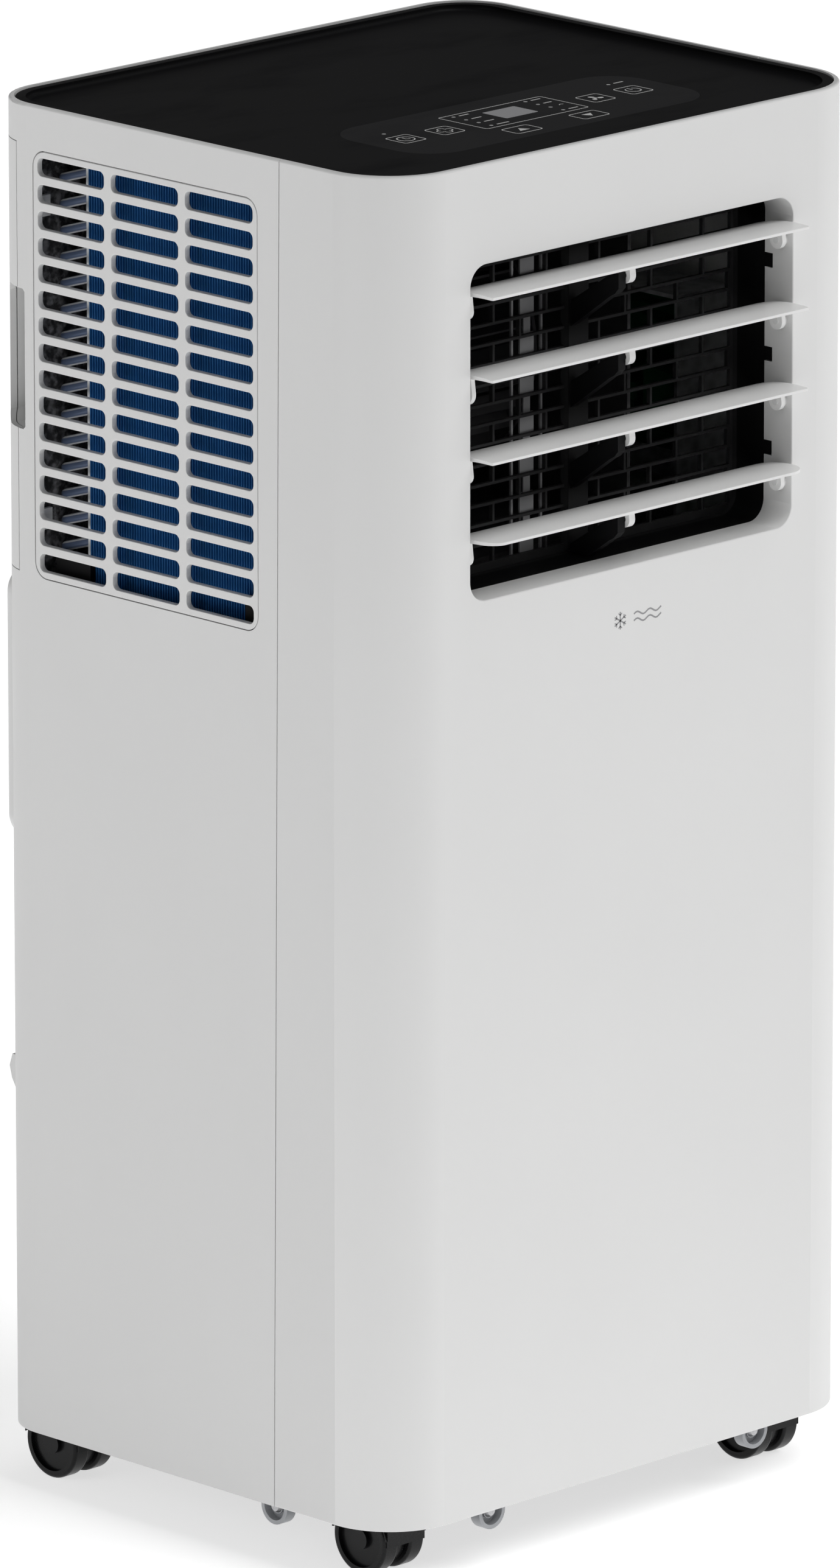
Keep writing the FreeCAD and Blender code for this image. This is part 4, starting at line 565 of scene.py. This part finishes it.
class Print:
    """Ink strokes and shapes, a few hundredths of a millimetre high, on a flat face."""

    def __init__(self, to_space):
        self.to_space = to_space     # (a, b, height) in metres to a point
        self.bm = bmesh.new()

    def shape(self, outline, hole=None):
        """A filled outline in millimetres, or the band between it and a hole of as many points."""
        rings = [outline] if hole is None else [outline, hole]
        made = []
        for ring in rings:
            for height in INK_TOP, INK_ROOT:
                made.append([self.bm.verts.new(self.to_space(a * MM, b * MM, height))
                             for a, b in ring])
        n = len(outline)
        for k in range(0, len(made), 2):
            for i in range(n):
                after = (i + 1) % n
                self.bm.faces.new((made[k][i], made[k][after], made[k + 1][after], made[k + 1][i]))
        if hole is None:
            self.bm.faces.new(made[0])
            self.bm.faces.new(made[1])
        else:
            for top, inner in ((made[0], made[2]), (made[1], made[3])):
                for i in range(n):
                    self.bm.faces.new((top[i], top[(i + 1) % n], inner[(i + 1) % n], inner[i]))

    def stroke(self, points, width):
        """An open line."""
        sides = [[], []]
        for i, (a, b) in enumerate(points):
            before, after = points[max(i - 1, 0)], points[min(i + 1, len(points) - 1)]
            da, db = after[0] - before[0], after[1] - before[1]
            length = math.hypot(da, db)
            na, nb = -db / length * width / 2, da / length * width / 2
            sides[0].append((a + na, b + nb))
            sides[1].append((a - na, b - nb))
        self.shape(sides[0] + sides[1][::-1])

    def ring(self, a, b, radius, width, start=0.0, end=360.0, steps=28):
        if end - start >= 360:
            angles = [math.radians(360 * i / steps) for i in range(steps)]
            outer, inner = radius + width / 2, radius - width / 2
            self.shape([(a + outer * math.cos(t), b + outer * math.sin(t)) for t in angles],
                       [(a + inner * math.cos(t), b + inner * math.sin(t)) for t in angles])
        else:
            angles = [math.radians(start + (end - start) * i / steps) for i in range(steps + 1)]
            self.stroke([(a + radius * math.cos(t), b + radius * math.sin(t)) for t in angles],
                        width)

    def dot(self, a, b, radius):
        angles = [math.radians(20 * i) for i in range(18)]
        self.shape([(a + radius * math.cos(t), b + radius * math.sin(t)) for t in angles])

    def frame(self, a, b, width, height, corner, line):
        """A rectangle's outline with rounded corners, centred on (a, b)."""
        self.shape(rounded(a, b, width + line, height + line, corner + line / 2),
                   rounded(a, b, width - line, height - line, max(corner - line / 2, 0.2)))

    def finish(self, name, body, slot, material):
        return keep_piece(from_bmesh(name, self.bm), body, slot, material)


def rounded(a, b, width, height, corner, steps=5):
    points = []
    for quarter, (sa, sb) in enumerate(((1, 1), (-1, 1), (-1, -1), (1, -1))):
        for i in range(steps + 1):
            t = math.radians(90 * quarter + 90 * i / steps)
            points.append((a + sa * (width / 2 - corner) + corner * math.cos(t),
                           b + sb * (height / 2 - corner) + corner * math.sin(t)))
    return points


def clock_sign(ink, a, b):
    ink.ring(a, b, 4.2, 0.6)
    ink.stroke([(a, b - 0.1), (a, b + 2.5)], 0.55)
    ink.stroke([(a - 0.1, b), (a + 1.9, b - 1.1)], 0.55)


def petal_sign(ink, a, b):
    """Four rounded loops round a centre: the mode key."""
    for turn in range(4):
        t = math.radians(90 * turn)
        ink.ring(a + 2.5 * math.cos(t), b + 2.5 * math.sin(t), 1.9, 0.5,
                 90 * turn - 130, 90 * turn + 130, 16)


def propeller_sign(ink, a, b):
    """Three filled blades round a hub: the fan key."""
    ink.dot(a, b, 0.8)
    for turn in range(3):
        t = math.radians(90 + 120 * turn)
        points = []
        for i in range(14):
            s = 2 * math.pi * i / 14
            u, v = 2.5 + 1.6 * math.cos(s), 1.25 * math.sin(s) + 0.35 * (1 + math.cos(s))
            points.append((a + u * math.cos(t) - v * math.sin(t),
                           b + u * math.sin(t) + v * math.cos(t)))
        ink.shape(points)


def power_sign(ink, a, b):
    ink.ring(a, b, 3.7, 0.6, 120, 420, 26)
    ink.stroke([(a, b + 0.6), (a, b + 4.4)], 0.6)


def touch_panel_print():
    """Key outlines, signs, light dots and plain dashes on the overlay. No lettering."""
    overlay_low, overlay_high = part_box("touch_overlay")
    middle = (overlay_low + overlay_high) / 2

    def place(a, b, height):
        return Vector((a + middle.x, b + middle.y, overlay_high.z + height))

    ink, lights = Print(place), Print(place)
    line, dash, corner = 0.55, 0.9, 1.8
    key_b, arrow_b = 0.6, -22.4
    keys = {clock_sign: -74.2, petal_sign: -49.0, propeller_sign: 49.6, power_sign: 74.6}
    for sign, a in keys.items():
        ink.frame(a, key_b, 13.7, 14.0, corner, line)
        sign(ink, a, key_b)
    for a, way in ((-21.9, 1), (22.0, -1)):      # the arrow that points up, then the other
        ink.frame(a, arrow_b, 16.4, 11.6, corner, line)
        ink.shape([(a - 3.1, arrow_b - way * 2.1), (a + 3.1, arrow_b - way * 2.1),
                   (a, arrow_b + way * 2.5)][::way])
    ink.frame(0.3, 5.2, 66.6, 32.0, 1.2, line)
    row_b = [17.8 - 8.2 * row for row in range(4)]
    left_ends, right_ends = (-16.4, -16.4, -16.4, -14.8), (30.4, 29.6, None, 30.4)
    for b, left_end, right_end in zip(row_b, left_ends, right_ends):
        ink.stroke([(-22.6, b), (left_end, b)], dash)
        if right_end is None:
            ink.ring(28.4, b, 1.3, 0.5, 20, 160, 8)
        else:
            ink.stroke([(24.4, b), (right_end, b)], dash)
        for a in (-26.2, 20.8):
            lights.dot(a, b, 1.0)
    ink.stroke([(78.0, 16.8), (84.2, 16.8)], dash)
    lights.dot(-74.2, 14.9, 1.0)
    lights.dot(74.4, 16.6, 1.0)
    ink.finish("panel_print", "cabinet", "louvre_white", INK_WHITE)
    lights.finish("panel_lights", "cabinet", "lens_grey", LIGHT_WINDOW)


def front_mark():
    """A plain frost star and two breeze lines, small and grey, under the outlet."""
    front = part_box("front_panel")[0].y
    mark_height = 0.441

    def place(a, b, height):
        return Vector((a, front - height, b + mark_height))

    ink = Print(place)
    star_a, arm, fork = -8, 4.2, 2.6
    for turn in range(3):
        t = math.radians(60 * turn + 30)
        ink.stroke([(star_a - arm * math.cos(t), -arm * math.sin(t)),
                    (star_a + arm * math.cos(t), arm * math.sin(t))], 0.7)
    for turn in range(6):
        t = math.radians(60 * turn + 30)
        tip = (star_a + fork * math.cos(t), fork * math.sin(t))
        for bend in (-50, 50):
            u = t + math.radians(bend)
            ink.stroke([tip, (tip[0] + 1.5 * math.cos(u), tip[1] + 1.5 * math.sin(u))], 0.55)
    for b in (-1.6, 1.6):
        ink.stroke([(1 + 1.2 * i, b + 0.9 * math.sin(i * 0.9)) for i in range(16)], 0.8)
    ink.finish("front_mark", "cabinet", "lug_grey", INK_GREY)


fin_packs()
foam_sheet()
filter_net()
softened_mouldings()
touch_panel_print()
front_mark()


# ---- stage --------------------------------------------------------------------------------------
FLOOR_SIZE, FLOOR_GLOW = 14.0, 0.65
LIGHT_AIM = Vector((0, 0, 0.35))
SOFTBOXES = {                       # place, width and height in metres, power in watts
    "left_box": ((-2.9, 0.5, 1.0), (1.6, 2.2), 14),
    "front_box": ((1.5, -2.7, 1.1), (1.4, 2.2), 3),
    "rim_box": ((2.2, -1.1, 0.9), (1.0, 2.2), 5),
}
CEILING_STRENGTH, CEILING_SPREAD = 1.42, 45
CEILING_TILT, CEILING_TURN = 34, 24
AIR_STRENGTH = 0.10
CAMERA_AZIMUTH, CAMERA_ELEVATION = -44.85, 14.9
CAMERA_DISTANCE = 7.0
CAMERA_LENS, SENSOR_WIDTH = 342.4, 36.0          # millimetres
CAMERA_SHIFT = -0.0049, -0.0183


def studio_floor():
    bpy.ops.mesh.primitive_plane_add(size=FLOOR_SIZE)
    floor = bpy.context.object
    floor.name = "studio_floor"
    paper = Finish("floor_paper", (0.90, 0.90, 0.90), 0.9, emission_color=(1, 1, 1, 1),
                   emission_strength=FLOOR_GLOW)
    paper.feed("Base Color", paper.blend(paper.noise(2.0), (0.89, 0.89, 0.89), (0.91, 0.91, 0.91)))
    floor.data.materials.append(paper.material)


def studio_lights():
    """Three softboxes, a wide soft light from above, and a little even light from all round."""
    for name, (place, size, power) in SOFTBOXES.items():
        lamp = bpy.data.lights.new(name, "AREA")
        lamp.shape = "RECTANGLE"
        lamp.size, lamp.size_y = size
        lamp.energy = power
        holder = linked(name, lamp)
        holder.location = place
        holder.rotation_euler = (LIGHT_AIM - Vector(place)).to_track_quat("-Z", "Y").to_euler()
    sky = bpy.data.lights.new("ceiling", "SUN")
    sky.energy = CEILING_STRENGTH
    sky.angle = math.radians(CEILING_SPREAD)
    ceiling = linked("ceiling", sky)
    ceiling.rotation_euler = (math.radians(CEILING_TILT), 0, math.radians(CEILING_TURN))
    world = bpy.data.worlds.new("studio_air")
    bpy.context.scene.world = world
    world.use_nodes = True
    background = world.node_tree.nodes["Background"]
    background.inputs["Color"].default_value = (1, 1, 1, 1)
    background.inputs["Strength"].default_value = AIR_STRENGTH
    bpy.context.scene.view_settings.view_transform = "Standard"


def corner_camera():
    """A long lens that looks down a little at the corner of the front and the grille side."""
    azimuth, elevation = math.radians(CAMERA_AZIMUTH), math.radians(CAMERA_ELEVATION)
    back = Vector((math.sin(azimuth) * math.cos(elevation),
                   -math.cos(azimuth) * math.cos(elevation), math.sin(elevation)))
    shell_low, shell_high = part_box("rear_shell")
    front_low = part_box("front_panel")[0]
    centre = Vector(((shell_low.x + shell_high.x) / 2, (front_low.y + shell_high.y) / 2,
                     (shell_low.z + shell_high.z) / 2))
    data = bpy.data.cameras.new("camera")
    data.sensor_width = SENSOR_WIDTH
    data.lens = CAMERA_LENS
    data.shift_x, data.shift_y = CAMERA_SHIFT
    camera = linked("camera", data)
    camera.location = centre + back * CAMERA_DISTANCE
    camera.rotation_mode = "QUATERNION"
    camera.rotation_quaternion = (-back).to_track_quat("-Z", "Y")
    bpy.context.scene.camera = camera


corner_camera()
studio_lights()
studio_floor()
